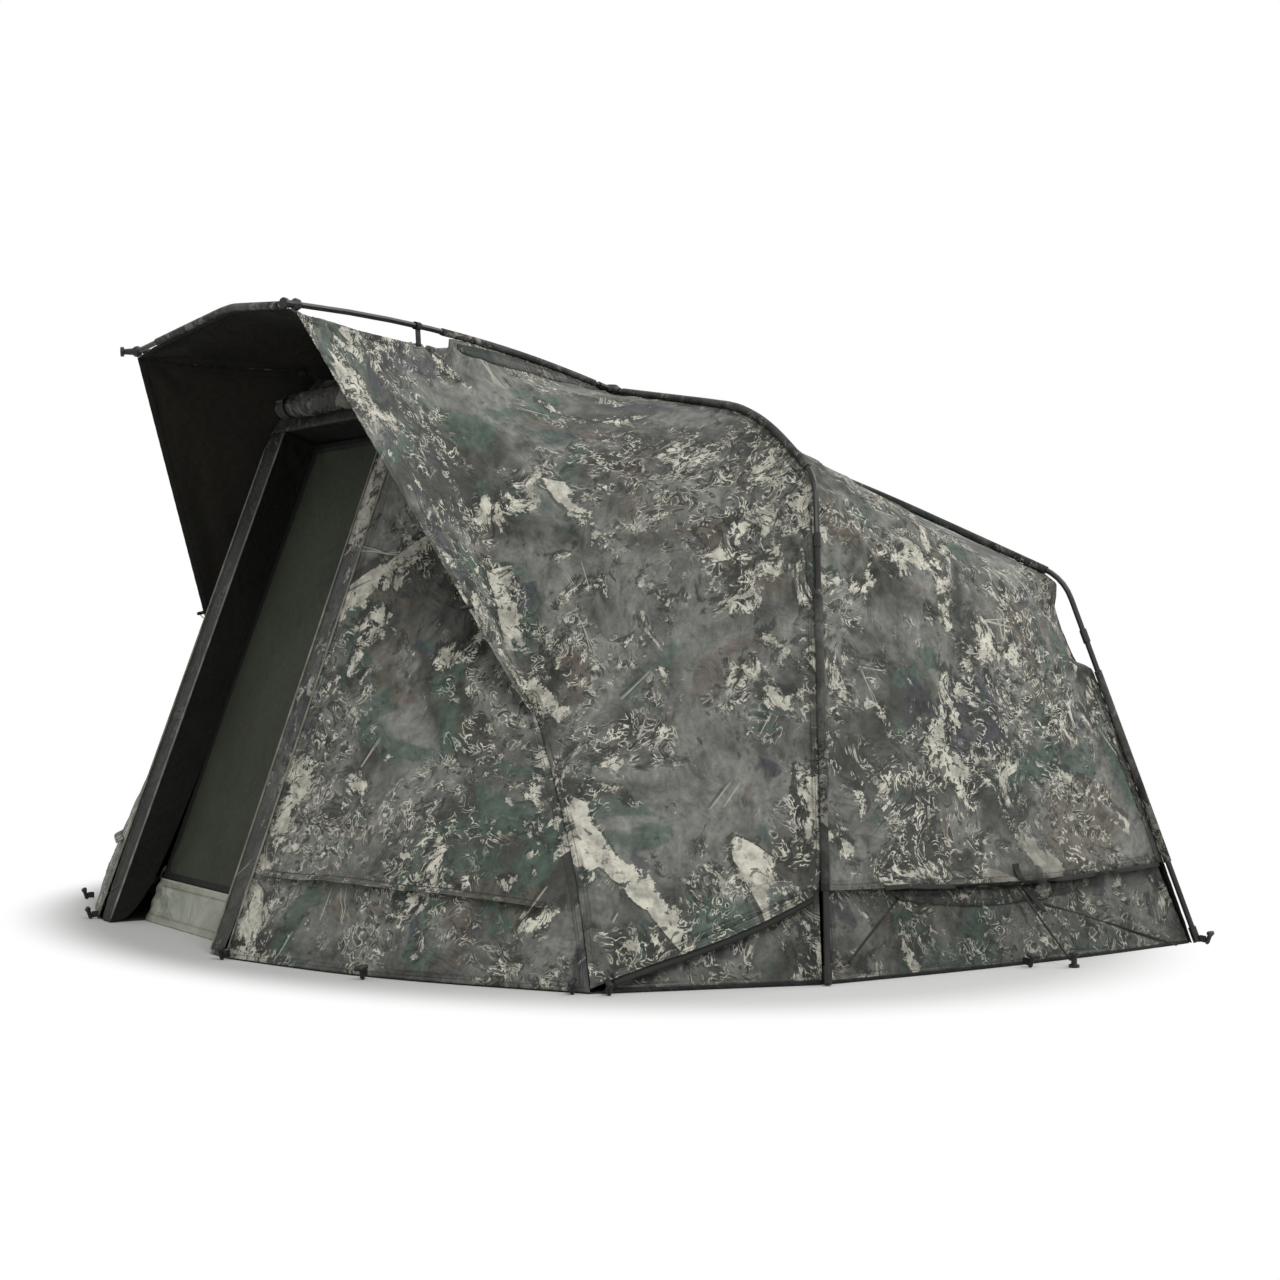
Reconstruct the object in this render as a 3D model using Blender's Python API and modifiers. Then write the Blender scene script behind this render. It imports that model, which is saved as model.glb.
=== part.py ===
"""Two-person bivvy tent on six plug-together ribs, with an overhanging hood and a zipped door.

Metres, +Z up, front towards -Y. The origin lies on the ground under the middle of the tent.
Places are given for the right-hand side, seen from the front, and measured back from the door line.
"""
import math

import bmesh
import bpy
from mathutils import Matrix, Vector

# Ground plan, as half widths from the centre plane and distances back from the door line
FRONT_SETBACK = 1.214
SIDE_FOOT_HALF_WIDTH = 1.600
SIDE_FOOT_BACK = 0.980
REAR_FOOT_HALF_WIDTH = 1.509
REAR_FOOT_BACK = 2.214
CORNER_HALF_WIDTH = 1.428
CORNER_BACK = 0.463
FRONT_HEM_HALF_WIDTH = 0.951
FRONT_HEM_BACK = 0.147
SIDE_HEM_HALF_WIDTH = 1.588
SIDE_HEM_BACK = 1.626
REAR_HEM_BACK = 2.392
FOOT_STAND_OFF = 0.016

# Frame
HUB_BACK = 1.376
HUB_HEIGHT = 1.498
TIP_HALF_WIDTH = 0.560
TIP_BACK = 0.145
TIP_HEIGHT = 1.590
FRONT_RIB_RISE = 0.032
BAR_BACK = 0.197
BAR_HEIGHT = 1.653
BAR_BEND = 0.070
SIDE_SHOULDER_HALF_WIDTH = 0.950
SIDE_SHOULDER_BACK = 1.236
SIDE_SHOULDER_HEIGHT = 1.362
SIDE_ELBOW_HALF_WIDTH = 1.272
SIDE_ELBOW_BACK = 1.184
SIDE_ELBOW_HEIGHT = 1.168
REAR_SHOULDER_HALF_WIDTH = 0.700
REAR_SHOULDER_BACK = 1.764
REAR_SHOULDER_HEIGHT = 1.192
REAR_ELBOW_HALF_WIDTH = 1.197
REAR_ELBOW_BACK = 2.040
REAR_ELBOW_HEIGHT = 0.937
SHOULDER_BEND = 0.200
ELBOW_BEND = 0.060
POLE_RADIUS = 0.0075
FERRULE_RADIUS = 0.0100
FERRULE_LENGTH = 0.035
FERRULE_DROP = 0.115
FOOT_PLUG_RADIUS = 0.0105
FOOT_PLUG_LENGTH = 0.040
HUB_RADIUS = 0.030
HUB_HALF_HEIGHT = 0.008
HUB_DOME = 0.009
HUB_STEPS = 24
SOCKET_RADIUS = 0.0104
SOCKET_REACH = 0.066
KNOB_RADIUS = 0.016
KNOB_NOSE = 0.046

# Cloth
FABRIC = 0.0020
SLEEVE_BORE = 0.0082
SLEEVE_WALL = 0.0020
SLEEVE_START = 0.090
SLEEVE_TO_ELBOW = 0.075
SIDE_SLEEVE_BELOW_ELBOW = 0.260
REAR_SLEEVE_BELOW_ELBOW = 0.230
SEAM_CUT_ABOVE = 0.075
SEAM_CUT_BELOW = 0.180
SEAM_CUT_BEND = 0.030
VENT_BEND = 0.200
CROWN_RADIUS = 0.030
CROWN_DIP = 0.009
NOTCH_FROM_TIP = 0.521
NOTCH_DEPTH = 0.042
NOTCH_RUN = 0.045
BAR_SLEEVE_INSET = 0.130
LOWER_EDGE_HEIGHT = 0.205
VENT_HALF_WIDTH = 1.518
VENT_BACK = 1.685
VENT_HEIGHT = 0.187
SKIRT_TUCK = 0.018
SKIRT_STAND_OFF = 0.012
EAVE_BACK = 2.085
EAVE_HEIGHT = 0.905
FOLD_DEPTH = 0.006
ROOF_SAG = 0.012
PANEL_SAG = 0.010

# Hood wings and the front wall
WING_END_HALF_WIDTH = 0.966
WING_END_BACK = 0.597
WING_END_HEIGHT = 0.570
WING_END_WIDTH = 0.010
VALLEY_HALF_WIDTH = 0.450
VALLEY_BACK = 0.570
VALLEY_HEIGHT = 1.390
CREASE_HALF_WIDTH = 1.300
CREASE_BACK = 0.500
CREASE_HEIGHT = 0.260
VALLEY_BEND = 0.060
CORNER_LIFT = 0.012

# Doorway, laid out on a plane that leans back from the door line
LEAN_BACK = 0.516
LEAN_HEIGHT = 1.392
DOOR_HALF_WIDTH = 0.370
DOOR_TOP_HALF_WIDTH = 0.345
JAMB_WIDTH = 0.100
DOOR_TOP_HEIGHT = 1.365
DOOR_BOTTOM_HEIGHT = 0.106
RECESS_DEPTH = 0.105
DOOR_DEPTH = 0.099
MUD_FLAP_DEPTH = 0.0935
MUD_FLAP_HEIGHT = 0.116
HEADER_FOLD_HEIGHT = 1.460
HEADER_FOLD_HALF_WIDTH = 0.385
HEADER_INSET = 0.012

# Rolled covers and their toggles
DOOR_ROLL_RADIUS = 0.040
DOOR_ROLL_TIE_RADIUS = 0.033
DOOR_ROLL_HALF_LENGTH = 0.305
DOOR_ROLL_HEIGHT = 1.412
TOGGLE_PLACE = 0.250
TOGGLE_RADIUS = 0.005
TOGGLE_LENGTH = 0.042
WINDOW_ROLL_RADIUS = 0.016
WINDOW_ROLL_ASIDE = 0.055
WINDOW_ROLL_END_HEIGHT = 0.800

# Zips, guys and pegs
SLIDER_WIDTH = 0.009
SLIDER_LENGTH = 0.017
SLIDER_HEIGHT = 0.006
SLIDER_BEVEL = 0.0012
SLIDER_REST = 0.185
PULL_WIDTH = 0.007
PULL_LENGTH = 0.032
PULL_THICKNESS = 0.0018
GUY_RADIUS = 0.0025
PEG_HALF_WIDTH = 1.668
PEG_BACK = 1.651
PEG_RADIUS = 0.013
PEG_NECK_RADIUS = 0.007
PEG_HEIGHT = 0.034
GUY_END_HEIGHT = 0.016

# Groundsheet and clearances
SHEET_THICKNESS = 0.003
SHEET_INSET = 0.005
SHEET_SIDE_INSET = 0.0065
CLEARANCE = 0.0003
SEAM_GAP = 0.0006
RIB_SEAM_GAP = 0.0009
VALLEY_GAP = 0.0014
WINDOW_GAP = 0.0034
HEM_LIFT = 0.0010
DOOR_SIDE_GAP = 0.004

# Shares and counts
NOTCH_ROOT_SHARE = 0.5
SKIRT_END_SHARE = 0.12
TIP_CUT_SHARE = 0.95
HEADER_SHARE = 0.75
HEADER_END_SHARE = 0.1
REAR_BOW_SHARE = 0.8
COLLAR_END_SHARE = 1.05
HUB_RADIUS_SHARES = (0.0, 0.55, 0.85, 1.0, 1.0, 0.90, 0.0)
HUB_DOME_SHARES = (1.0, 0.85, 0.0, 0.0, 0.0, 0.0, 0.0)
HUB_HEIGHT_SHARES = (1.0, 1.0, 1.0, 0.5, -0.5, -1.0, -1.0)
DOOR_PLACE_SHARES = (-1.0, -0.67, -0.33, 0.0, 0.33, 0.67, 1.0)
MUD_FLAP_PLACE_SHARES = (-1.0, -0.8, -0.6, -0.4, -0.2, 0.0, 0.2, 0.4, 0.6, 0.8, 1.0)
KNOB_PLACE_SHARES = (-0.98, -0.80, -0.40, 0.0, 0.40, 0.80)
KNOB_RADIUS_SHARES = (0.20, 0.60, 0.917, 1.0, 0.917, 0.60)
HEAD_PLACE_SHARES = (0.76, 0.80, 1.0)
HEAD_RADIUS_SHARES = (0.50, 0.86, 0.86)
ROLL_PLACE_SHARES = (-1.0, -0.94, -0.88, -0.76, -0.60, -0.25, 0.0, 0.25, 0.60, 0.76, 0.88, 0.94, 1.0)
ROLL_FULLNESS_SHARES = (0.80, 0.90, 0.0, 0.0, 0.9, 1.0, 0.94, 1.0, 0.9, 0.0, 0.0, 0.90, 0.80)
TOGGLE_PLACE_SHARES = (-1.0, -0.9, -0.2, 0.0, 0.2, 0.9, 1.0)
TOGGLE_RADIUS_SHARES = (0.6, 1.0, 1.0, 0.8, 1.0, 1.0, 0.6)
PEG_HEIGHT_SHARES = (0.0, 0.20, 0.28, 0.78, 0.86, 1.0)
GUY_STEPS = 6
WING_STEPS = 10
CREASE_STEPS = 5
WINDOW_START_STEPS = 2
RIB_STEPS = (6, 2, 4)
FRONT_RIB_STEPS = (7, 2, 5)
REAR_WALL_STEPS = 5
WINDOW_STEPS = 6
PANEL_STEPS = 12
ROOF_STEPS = 10
REAR_ROOF_STEPS = 8
WING_TOP_STEPS = 4
SKIRT_STEPS = 3
JAMB_STEPS = 10
DOOR_STEPS = 8
MUD_FLAP_STEPS = 2
FRONT_HEM_STEPS = 8
SIDE_HEM_STEPS = 6
PANEL_BOTTOM_STEPS = 12
BEND_STEPS = 5
TIP_STEPS = 8
SIDE_FOLDS = 4
ROOF_FOLDS = 3
POLE_RESOLUTION = 2
TOGGLE_RESOLUTION = 4
ROLL_RESOLUTION = 10

LEAN = math.atan2(LEAN_BACK, LEAN_HEIGHT)
SLEEVE_RADIUS = SLEEVE_BORE + SLEEVE_WALL
SEAM_DROP = SLEEVE_RADIUS + CLEARANCE + FABRIC / 2
TIP_DIP = KNOB_RADIUS + CLEARANCE * 4 + FABRIC / 2
SIDES = {"right": 1, "left": -1}

COLOURS = {
    "camo_cloth": ((0.150, 0.152, 0.132), 0.85, 0.0),
    "sleeve_cloth": ((0.075, 0.078, 0.066), 0.85, 0.0),
    "door_cloth": ((0.030, 0.038, 0.028), 0.80, 0.0),
    "mud_flap_cloth": ((0.300, 0.330, 0.250), 0.70, 0.0),
    "groundsheet_cloth": ((0.020, 0.021, 0.020), 0.60, 0.0),
    "pole_paint": ((0.025, 0.025, 0.023), 0.45, 0.6),
    "black_plastic": ((0.015, 0.015, 0.015), 0.50, 0.0),
    "zip_metal": ((0.120, 0.120, 0.115), 0.35, 0.9),
    "guy_cord": ((0.020, 0.024, 0.018), 0.80, 0.0),
}


def clear_scene():
    for item in list(bpy.data.objects):
        bpy.data.objects.remove(item, do_unlink=True)


def make_material(name):
    colour, roughness, metallic = COLOURS[name]
    material = bpy.data.materials.new(name)
    material.use_nodes = True
    shader = material.node_tree.nodes["Principled BSDF"]
    shader.inputs["Base Color"].default_value = (*colour, 1)
    shader.inputs["Roughness"].default_value = roughness
    shader.inputs["Metallic"].default_value = metallic
    return material


def at(x, y, z):
    """A point measured back from the door line."""
    return Vector((x, y - FRONT_SETBACK, z))


CORE = at(0, HUB_BACK, HUB_HEIGHT / 2)


def finish(item, cloth):
    item.data.materials.append(make_material(cloth))
    bpy.data.collections["bivvy_tent"].objects.link(item)
    return item


# Paths

def bent(corners, cuts, steps=BEND_STEPS):
    """Straight legs whose inner corners are rounded over the given cut lengths."""
    path = [corners[0]]
    for before, corner, after, cut in zip(corners, corners[1:], corners[2:], cuts):
        start = corner + (before - corner).normalized() * cut
        end = corner + (after - corner).normalized() * cut
        for step in range(steps + 1):
            t = step / steps
            path.append(start.lerp(corner, t).lerp(corner.lerp(end, t), t))
    return path + [corners[-1]]


def length_of(path):
    return sum((b - a).length for a, b in zip(path, path[1:]))


def point_on(path, distance):
    for a, b in zip(path, path[1:]):
        step = (b - a).length
        if distance <= step:
            return a.lerp(b, distance / step) if step else a.copy()
        distance -= step
    return path[-1].copy()


def part_of(path, start, end):
    """The stretch of a path between two distances along it, with the path's own points."""
    points = [point_on(path, start)]
    reached = 0
    for a, b in zip(path, path[1:]):
        reached += (b - a).length
        if start + CLEARANCE < reached < end - CLEARANCE:
            points.append(b.copy())
    return points + [point_on(path, end)]


def spread(path, count):
    """Evenly spaced points along a path, ends included."""
    total = length_of(path)
    return [point_on(path, total * k / count) for k in range(count + 1)]


def distance_at_height(path, height):
    """How far along a path that comes down it first reaches a height."""
    reached = 0
    for a, b in zip(path, path[1:]):
        if a.z >= height >= b.z and a.z > b.z:
            return reached + (b - a).length * (a.z - height) / (a.z - b.z)
        reached += (b - a).length
    return reached


def offset(path, drop, aside=0):
    """A path moved inwards by drop, a length or a function of the distance, and sideways by aside."""
    moved = []
    reached = 0
    for k, point in enumerate(path):
        if k:
            reached += (point - path[k - 1]).length
        ahead = path[min(k + 1, len(path) - 1)] - path[max(k - 1, 0)]
        tangent = ahead.normalized()
        inward = CORE - point
        inward = (inward - tangent * inward.dot(tangent)).normalized()
        depth = drop(reached) if callable(drop) else drop
        moved.append(point + inward * depth + tangent.cross(inward) * aside)
    return moved


def mirrored(points, sign):
    return [Vector((p.x * sign, p.y, p.z)) for p in points]


# Grids of points that become cloth

def patch(top, bottom, left, right):
    """A grid of points filled in between four edges, each given as a list of points."""
    rows = []
    across, down = len(top) - 1, len(left) - 1
    for j in range(down + 1):
        v = j / down
        row = []
        for i in range(across + 1):
            u = i / across
            edges = top[i].lerp(bottom[i], v) + left[j].lerp(right[j], u)
            corners = top[0].lerp(top[-1], u).lerp(bottom[0].lerp(bottom[-1], u), v)
            row.append(edges - corners)
        rows.append(row)
    return rows


def outward(rows, j, i):
    down = rows[min(j + 1, len(rows) - 1)][i] - rows[max(j - 1, 0)][i]
    across = rows[j][min(i + 1, len(rows[j]) - 1)] - rows[j][max(i - 1, 0)]
    normal = across.cross(down).normalized()
    return normal if normal.dot(rows[j][i] - CORE) > 0 else -normal


def pressed(rows, amount):
    """The grid with each point moved outwards by amount(u, v)."""
    down, across = len(rows) - 1, len(rows[0]) - 1
    return [
        [rows[j][i] + outward(rows, j, i) * amount(i / across, j / down) for i in range(across + 1)]
        for j in range(down + 1)
    ]


def slack(sag, folds, slant, depth=FOLD_DEPTH):
    """Cloth that sags between its edges, with folds that fade out towards them."""
    def amount(u, v):
        inner = 16 * u * (1 - u) * v * (1 - v)
        wave = math.sin(2 * math.pi * (folds * u + slant * v))
        return inner * (depth * wave - sag)
    return amount


def cloth(name, rows, colour, thickness=FABRIC):
    """A sheet of cloth of the given thickness through a grid of points."""
    across = len(rows[0])
    points = [point for row in rows for point in row]
    faces = []
    for j in range(len(rows) - 1):
        for i in range(across - 1):
            k = j * across + i
            faces.append((k, k + 1, k + across + 1, k + across))
    mesh = bpy.data.meshes.new(name)
    mesh.from_pydata(points, [], faces)
    mesh.shade_smooth()
    sheet = finish(bpy.data.objects.new(name, mesh), colour)
    solid = sheet.modifiers.new("thickness", "SOLIDIFY")
    solid.thickness = thickness
    solid.offset = 0
    return sheet


def tube(name, path, radius, colour, factors=None, caps=True, resolution=POLE_RESOLUTION):
    """A round tube along a path, whose radius may change from point to point."""
    curve = bpy.data.curves.new(name, "CURVE")
    curve.dimensions = "3D"
    curve.bevel_depth = radius
    curve.bevel_resolution = resolution
    curve.use_fill_caps = caps
    spline = curve.splines.new("POLY")
    spline.points.add(len(path) - 1)
    for k, point in enumerate(path):
        spline.points[k].co = (*point, 1)
        spline.points[k].radius = factors[k] if factors else 1
    spline.use_smooth = True
    return finish(bpy.data.objects.new(name, curve), colour)


def as_mesh(item):
    """The same object as a mesh, with the loose ends of a curve's caps joined."""
    bpy.context.view_layer.update()
    graph = bpy.context.evaluated_depsgraph_get()
    mesh = bpy.data.meshes.new_from_object(item.evaluated_get(graph), depsgraph=graph)
    name = item.name
    colour = item.data.materials[0].name.split(".")[0]
    bpy.data.objects.remove(item, do_unlink=True)
    work = bmesh.new()
    work.from_mesh(mesh)
    bmesh.ops.remove_doubles(work, verts=work.verts, dist=CLEARANCE / 10)
    work.to_mesh(mesh)
    work.free()
    mesh.materials.clear()
    return finish(bpy.data.objects.new(name, mesh), colour)


def sleeve(name, path):
    """An open-ended cloth sleeve around a pole."""
    skin = as_mesh(tube(name, path, SLEEVE_RADIUS, "sleeve_cloth", caps=False))
    skin.name = name
    wall = skin.modifiers.new("wall", "SOLIDIFY")
    wall.thickness = SLEEVE_WALL
    wall.offset = -1
    return skin


# Frame lines, for the right-hand side

HUB = at(0, HUB_BACK, HUB_HEIGHT)
TIP = at(TIP_HALF_WIDTH, TIP_BACK, TIP_HEIGHT)
BAR_TOP = at(0, BAR_BACK, BAR_HEIGHT)
SIDE_FOOT = at(SIDE_FOOT_HALF_WIDTH, SIDE_FOOT_BACK, 0)
REAR_FOOT = at(REAR_FOOT_HALF_WIDTH, REAR_FOOT_BACK, 0)
SIDE_CORNERS = [
    HUB,
    at(SIDE_SHOULDER_HALF_WIDTH, SIDE_SHOULDER_BACK, SIDE_SHOULDER_HEIGHT),
    at(SIDE_ELBOW_HALF_WIDTH, SIDE_ELBOW_BACK, SIDE_ELBOW_HEIGHT),
    SIDE_FOOT,
]
REAR_CORNERS = [
    HUB,
    at(REAR_SHOULDER_HALF_WIDTH, REAR_SHOULDER_BACK, REAR_SHOULDER_HEIGHT),
    at(REAR_ELBOW_HALF_WIDTH, REAR_ELBOW_BACK, REAR_ELBOW_HEIGHT),
    REAR_FOOT,
]
FRONT_MIDDLE = HUB.lerp(TIP, 0.5) + Vector((0, 0, 2 * FRONT_RIB_RISE))
FRONT_LINE = bent([HUB, FRONT_MIDDLE, TIP], [(TIP - FRONT_MIDDLE).length * TIP_CUT_SHARE], TIP_STEPS)
SIDE_LINE = bent(SIDE_CORNERS, [SHOULDER_BEND, ELBOW_BEND])
REAR_LINE = bent(REAR_CORNERS, [SHOULDER_BEND, ELBOW_BEND])
BAR_LINE = bent([TIP, BAR_TOP, mirrored([TIP], -1)[0]], [BAR_BEND])


def dip(distance):
    """How far the cloth lies below a rib: a little more at the crown."""
    return SEAM_DROP + CROWN_DIP * max(0, 1 - distance / SLEEVE_START)


def hood_dip(distance):
    """The same under a front rib, where the hood hangs clear from the tip back to a notch."""
    from_tip = length_of(FRONT_LINE) - distance
    if from_tip <= NOTCH_FROM_TIP:
        share = (from_tip / NOTCH_FROM_TIP) ** NOTCH_ROOT_SHARE
        return TIP_DIP + (SEAM_DROP + NOTCH_DEPTH - TIP_DIP) * share
    fade = max(0, 1 - (from_tip - NOTCH_FROM_TIP) / NOTCH_RUN)
    return dip(distance) + NOTCH_DEPTH * fade


def fine(path, step=NOTCH_RUN / 2):
    """The path with points close enough to follow a change of depth along it."""
    return spread(path, math.ceil(length_of(path) / step))


def crown_cut(path):
    return part_of(path, CROWN_RADIUS, length_of(path))


def seam(line, aside, drop=dip):
    """The cloth's edge along a rib: in front of the rib's seam or behind it, by the sign of aside."""
    return crown_cut(offset(fine(line), drop, aside))


def seam_corners(corners):
    """A rib's corners with its elbow cut off straight, as the cloth spans it."""
    hub, shoulder, elbow, foot = corners
    above_elbow = elbow + (shoulder - elbow).normalized() * SEAM_CUT_ABOVE
    below_elbow = elbow + (foot - elbow).normalized() * SEAM_CUT_BELOW
    return [hub, shoulder, above_elbow, below_elbow, foot]


SIDE_SEAM_LINE = bent(seam_corners(SIDE_CORNERS), [SHOULDER_BEND, SEAM_CUT_BEND, SEAM_CUT_BEND])
REAR_SEAM_LINE = bent(seam_corners(REAR_CORNERS), [SHOULDER_BEND, SEAM_CUT_BEND, SEAM_CUT_BEND])
FRONT_TO_HOOD = seam(FRONT_LINE, -RIB_SEAM_GAP, hood_dip)
FRONT_TO_SIDE = seam(FRONT_LINE, RIB_SEAM_GAP, hood_dip)
SIDE_TO_FRONT = seam(SIDE_SEAM_LINE, -RIB_SEAM_GAP)
SIDE_TO_REAR = seam(SIDE_SEAM_LINE, RIB_SEAM_GAP)
REAR_TO_SIDE = seam(REAR_SEAM_LINE, -RIB_SEAM_GAP)
REAR_TO_BACK = seam(REAR_SEAM_LINE, RIB_SEAM_GAP)
FRONT_SEAM_LENGTH = length_of(FRONT_TO_SIDE)
HOOD_SEAM_LENGTH = length_of(FRONT_TO_HOOD)
NOTCH = point_on(FRONT_TO_SIDE, FRONT_SEAM_LENGTH - NOTCH_FROM_TIP)
WING_END = at(WING_END_HALF_WIDTH, WING_END_BACK, WING_END_HEIGHT)
VALLEY = at(VALLEY_HALF_WIDTH, VALLEY_BACK, VALLEY_HEIGHT)
CREASE = at(CREASE_HALF_WIDTH, CREASE_BACK, CREASE_HEIGHT)
CORNER = at(CORNER_HALF_WIDTH, CORNER_BACK, CORNER_LIFT)
VALLEY_CURVE = bent([NOTCH, VALLEY, WING_END, CREASE, CORNER], [VALLEY_BEND] * 3)


def above(path, height):
    return part_of(path, 0, distance_at_height(path, height))


def below(path, height):
    return part_of(path, distance_at_height(path, height), length_of(path))


VALLEY_LINE = spread(above(VALLEY_CURVE, WING_END_HEIGHT), WING_STEPS)
VALLEY_LINE += spread(below(VALLEY_CURVE, WING_END_HEIGHT), CREASE_STEPS)[1:]


def rib_points(path, corners, steps):
    """Points down a rib's seam: above its elbow, along the straight stretch past it, and below."""
    start, end = seam_corners(corners)[2:4]
    bends = [distance_at_height(path, start.z - SEAM_DROP), distance_at_height(path, end.z)]
    cuts = [0, *bends, length_of(path)]
    points = [path[0]]
    for low, high, count in zip(cuts, cuts[1:], steps):
        points += spread(part_of(path, low, high), count)[1:]
    return points


def foot_inside(foot, aside):
    """Where the cloth stands on the ground, just inside a rib's foot."""
    inward = (CORE - foot) * Vector((1, 1, 0))
    tangent = inward.normalized()
    return foot + tangent * FOOT_STAND_OFF + Vector((tangent.y, -tangent.x, 0)) * aside


# Doorway plane: across, up the slope and back from it

UP_SLOPE = Vector((0, math.sin(LEAN), math.cos(LEAN)))
INTO_TENT = Vector((0, math.cos(LEAN), -math.sin(LEAN)))


def on_door(x, up, depth):
    return at(x, 0, 0) + UP_SLOPE * up + INTO_TENT * depth


def up_for(height, depth=0):
    """The distance up the slope at which a plane set back by depth reaches a height."""
    return (height + depth * math.sin(LEAN)) / math.cos(LEAN)


def door_half_width(up):
    share = up / up_for(DOOR_TOP_HEIGHT)
    return DOOR_HALF_WIDTH + (DOOR_TOP_HALF_WIDTH - DOOR_HALF_WIDTH) * share


def jamb_edge(aside, depth=0, steps=JAMB_STEPS):
    """A line up the doorway's side, aside from the opening's edge, from the top to the ground."""
    low, high = up_for(HEM_LIFT, depth), up_for(DOOR_TOP_HEIGHT) - SEAM_GAP * 2
    ups = [high + (low - high) * k / steps for k in range(steps + 1)]
    return [on_door(door_half_width(up) + aside, up, depth) for up in ups]


# The frame

def make_hub():
    profile = bpy.data.meshes.new("hub")
    points = []
    for across, dome, up in zip(HUB_RADIUS_SHARES, HUB_DOME_SHARES, HUB_HEIGHT_SHARES):
        points.append((HUB_RADIUS * across, 0, HUB_HALF_HEIGHT * up + HUB_DOME * dome))
    profile.from_pydata(points, [(k, k + 1) for k in range(len(points) - 1)], [])
    hub = finish(bpy.data.objects.new("hub", profile), "black_plastic")
    hub.location = HUB
    turn = hub.modifiers.new("turn", "SCREW")
    turn.steps = turn.render_steps = HUB_STEPS
    turn.use_merge_vertices = True
    turn.merge_threshold = CLEARANCE / 10
    turn.use_smooth_shade = False
    cutters = bpy.data.collections["guides"]
    for line in (FRONT_LINE, SIDE_LINE, REAR_LINE):
        for side, sign in SIDES.items():
            stub = mirrored([HUB, point_on(line, SOCKET_REACH)], sign)
            socket = as_mesh(tube(f"socket_{side}", stub, SOCKET_RADIUS, "black_plastic"))
            bpy.data.collections["bivvy_tent"].objects.unlink(socket)
            cutters.objects.link(socket)
            socket.hide_render = True
            socket.display_type = "WIRE"
            joined = hub.modifiers.new("socket", "BOOLEAN")
            joined.operation = "UNION"
            joined.object = socket


def pole(name, path, start_collar=0, end_collar=0):
    """A pole section, with a ferrule at its upper end or a plug at its foot."""
    total = length_of(path)
    points, factors = path, [1] * len(path)
    if start_collar:
        points = [path[0], point_on(path, start_collar), point_on(path, start_collar * COLLAR_END_SHARE)]
        points += part_of(path, start_collar * COLLAR_END_SHARE, total)[1:]
        factors = [FERRULE_RADIUS / POLE_RADIUS] * 2 + [1] * (len(points) - 2)
    if end_collar:
        plug = FOOT_PLUG_RADIUS / POLE_RADIUS
        points = points[:-1] + [point_on(path, total - end_collar * COLLAR_END_SHARE)]
        points += [point_on(path, total - end_collar), path[-1]]
        factors = factors[:-1] + [1, plug, plug]
    return tube(name, points, POLE_RADIUS, "pole_paint", factors)


def make_front_frame():
    rib_end = length_of(FRONT_LINE) - KNOB_RADIUS - CLEARANCE
    rib = part_of(FRONT_LINE, SOCKET_REACH + CLEARANCE, rib_end)
    sleeve_end = length_of(FRONT_LINE) - NOTCH_FROM_TIP - NOTCH_RUN
    cover = part_of(FRONT_LINE, SLEEVE_START, sleeve_end)
    forward = (TIP - FRONT_LINE[-2]).normalized()
    places = [share * KNOB_RADIUS for share in KNOB_PLACE_SHARES]
    places += [share * KNOB_NOSE for share in HEAD_PLACE_SHARES]
    radii = KNOB_RADIUS_SHARES + HEAD_RADIUS_SHARES
    knob = [TIP + forward * place for place in places]
    for side, sign in SIDES.items():
        pole(f"front_rib_{side}", mirrored(rib, sign))
        sleeve(f"front_rib_sleeve_{side}", mirrored(cover, sign))
        tube(f"tip_knob_{side}", mirrored(knob, sign), KNOB_RADIUS, "black_plastic", radii)
    span = length_of(BAR_LINE)
    pole("front_bar", part_of(BAR_LINE, KNOB_RADIUS + CLEARANCE, span - KNOB_RADIUS - CLEARANCE))
    sleeve("front_bar_sleeve", part_of(BAR_LINE, BAR_SLEEVE_INSET, span - BAR_SLEEVE_INSET))


def make_rib(name, line, elbow_height, below_elbow):
    """One bent rib in two sections, each half in its own sleeve, with the elbow left bare."""
    total = length_of(line)
    elbow = distance_at_height(line, elbow_height - ELBOW_BEND / 2)
    joint = elbow + FERRULE_DROP
    direction = (line[-1] - line[-2]).normalized()
    lift = FOOT_PLUG_RADIUS * math.sqrt(1 - direction.z ** 2) + CLEARANCE
    end = total + lift / direction.z
    upper = part_of(line, SOCKET_REACH + CLEARANCE, joint)
    lower = part_of(line, joint + CLEARANCE, end)
    cover_end = distance_at_height(line, LOWER_EDGE_HEIGHT)
    upper_cover = part_of(line, SLEEVE_START, elbow - SLEEVE_TO_ELBOW)
    lower_cover = part_of(line, elbow + below_elbow, cover_end)
    for side, sign in SIDES.items():
        pole(f"{name}_rib_upper_{side}", mirrored(upper, sign))
        pole(f"{name}_rib_lower_{side}", mirrored(lower, sign), FERRULE_LENGTH, FOOT_PLUG_LENGTH)
        sleeve(f"{name}_upper_sleeve_{side}", mirrored(upper_cover, sign))
        sleeve(f"{name}_lower_sleeve_{side}", mirrored(lower_cover, sign))


# The canopy

def both_sides(name, rows, colour):
    for side, sign in SIDES.items():
        cloth(f"{name}_{side}", [mirrored(row, sign) for row in rows], colour)


def across_middle(right_path):
    """A pair of mirrored paths, left first, for a panel that spans the centre plane."""
    return mirrored(right_path, -1), right_path


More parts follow.
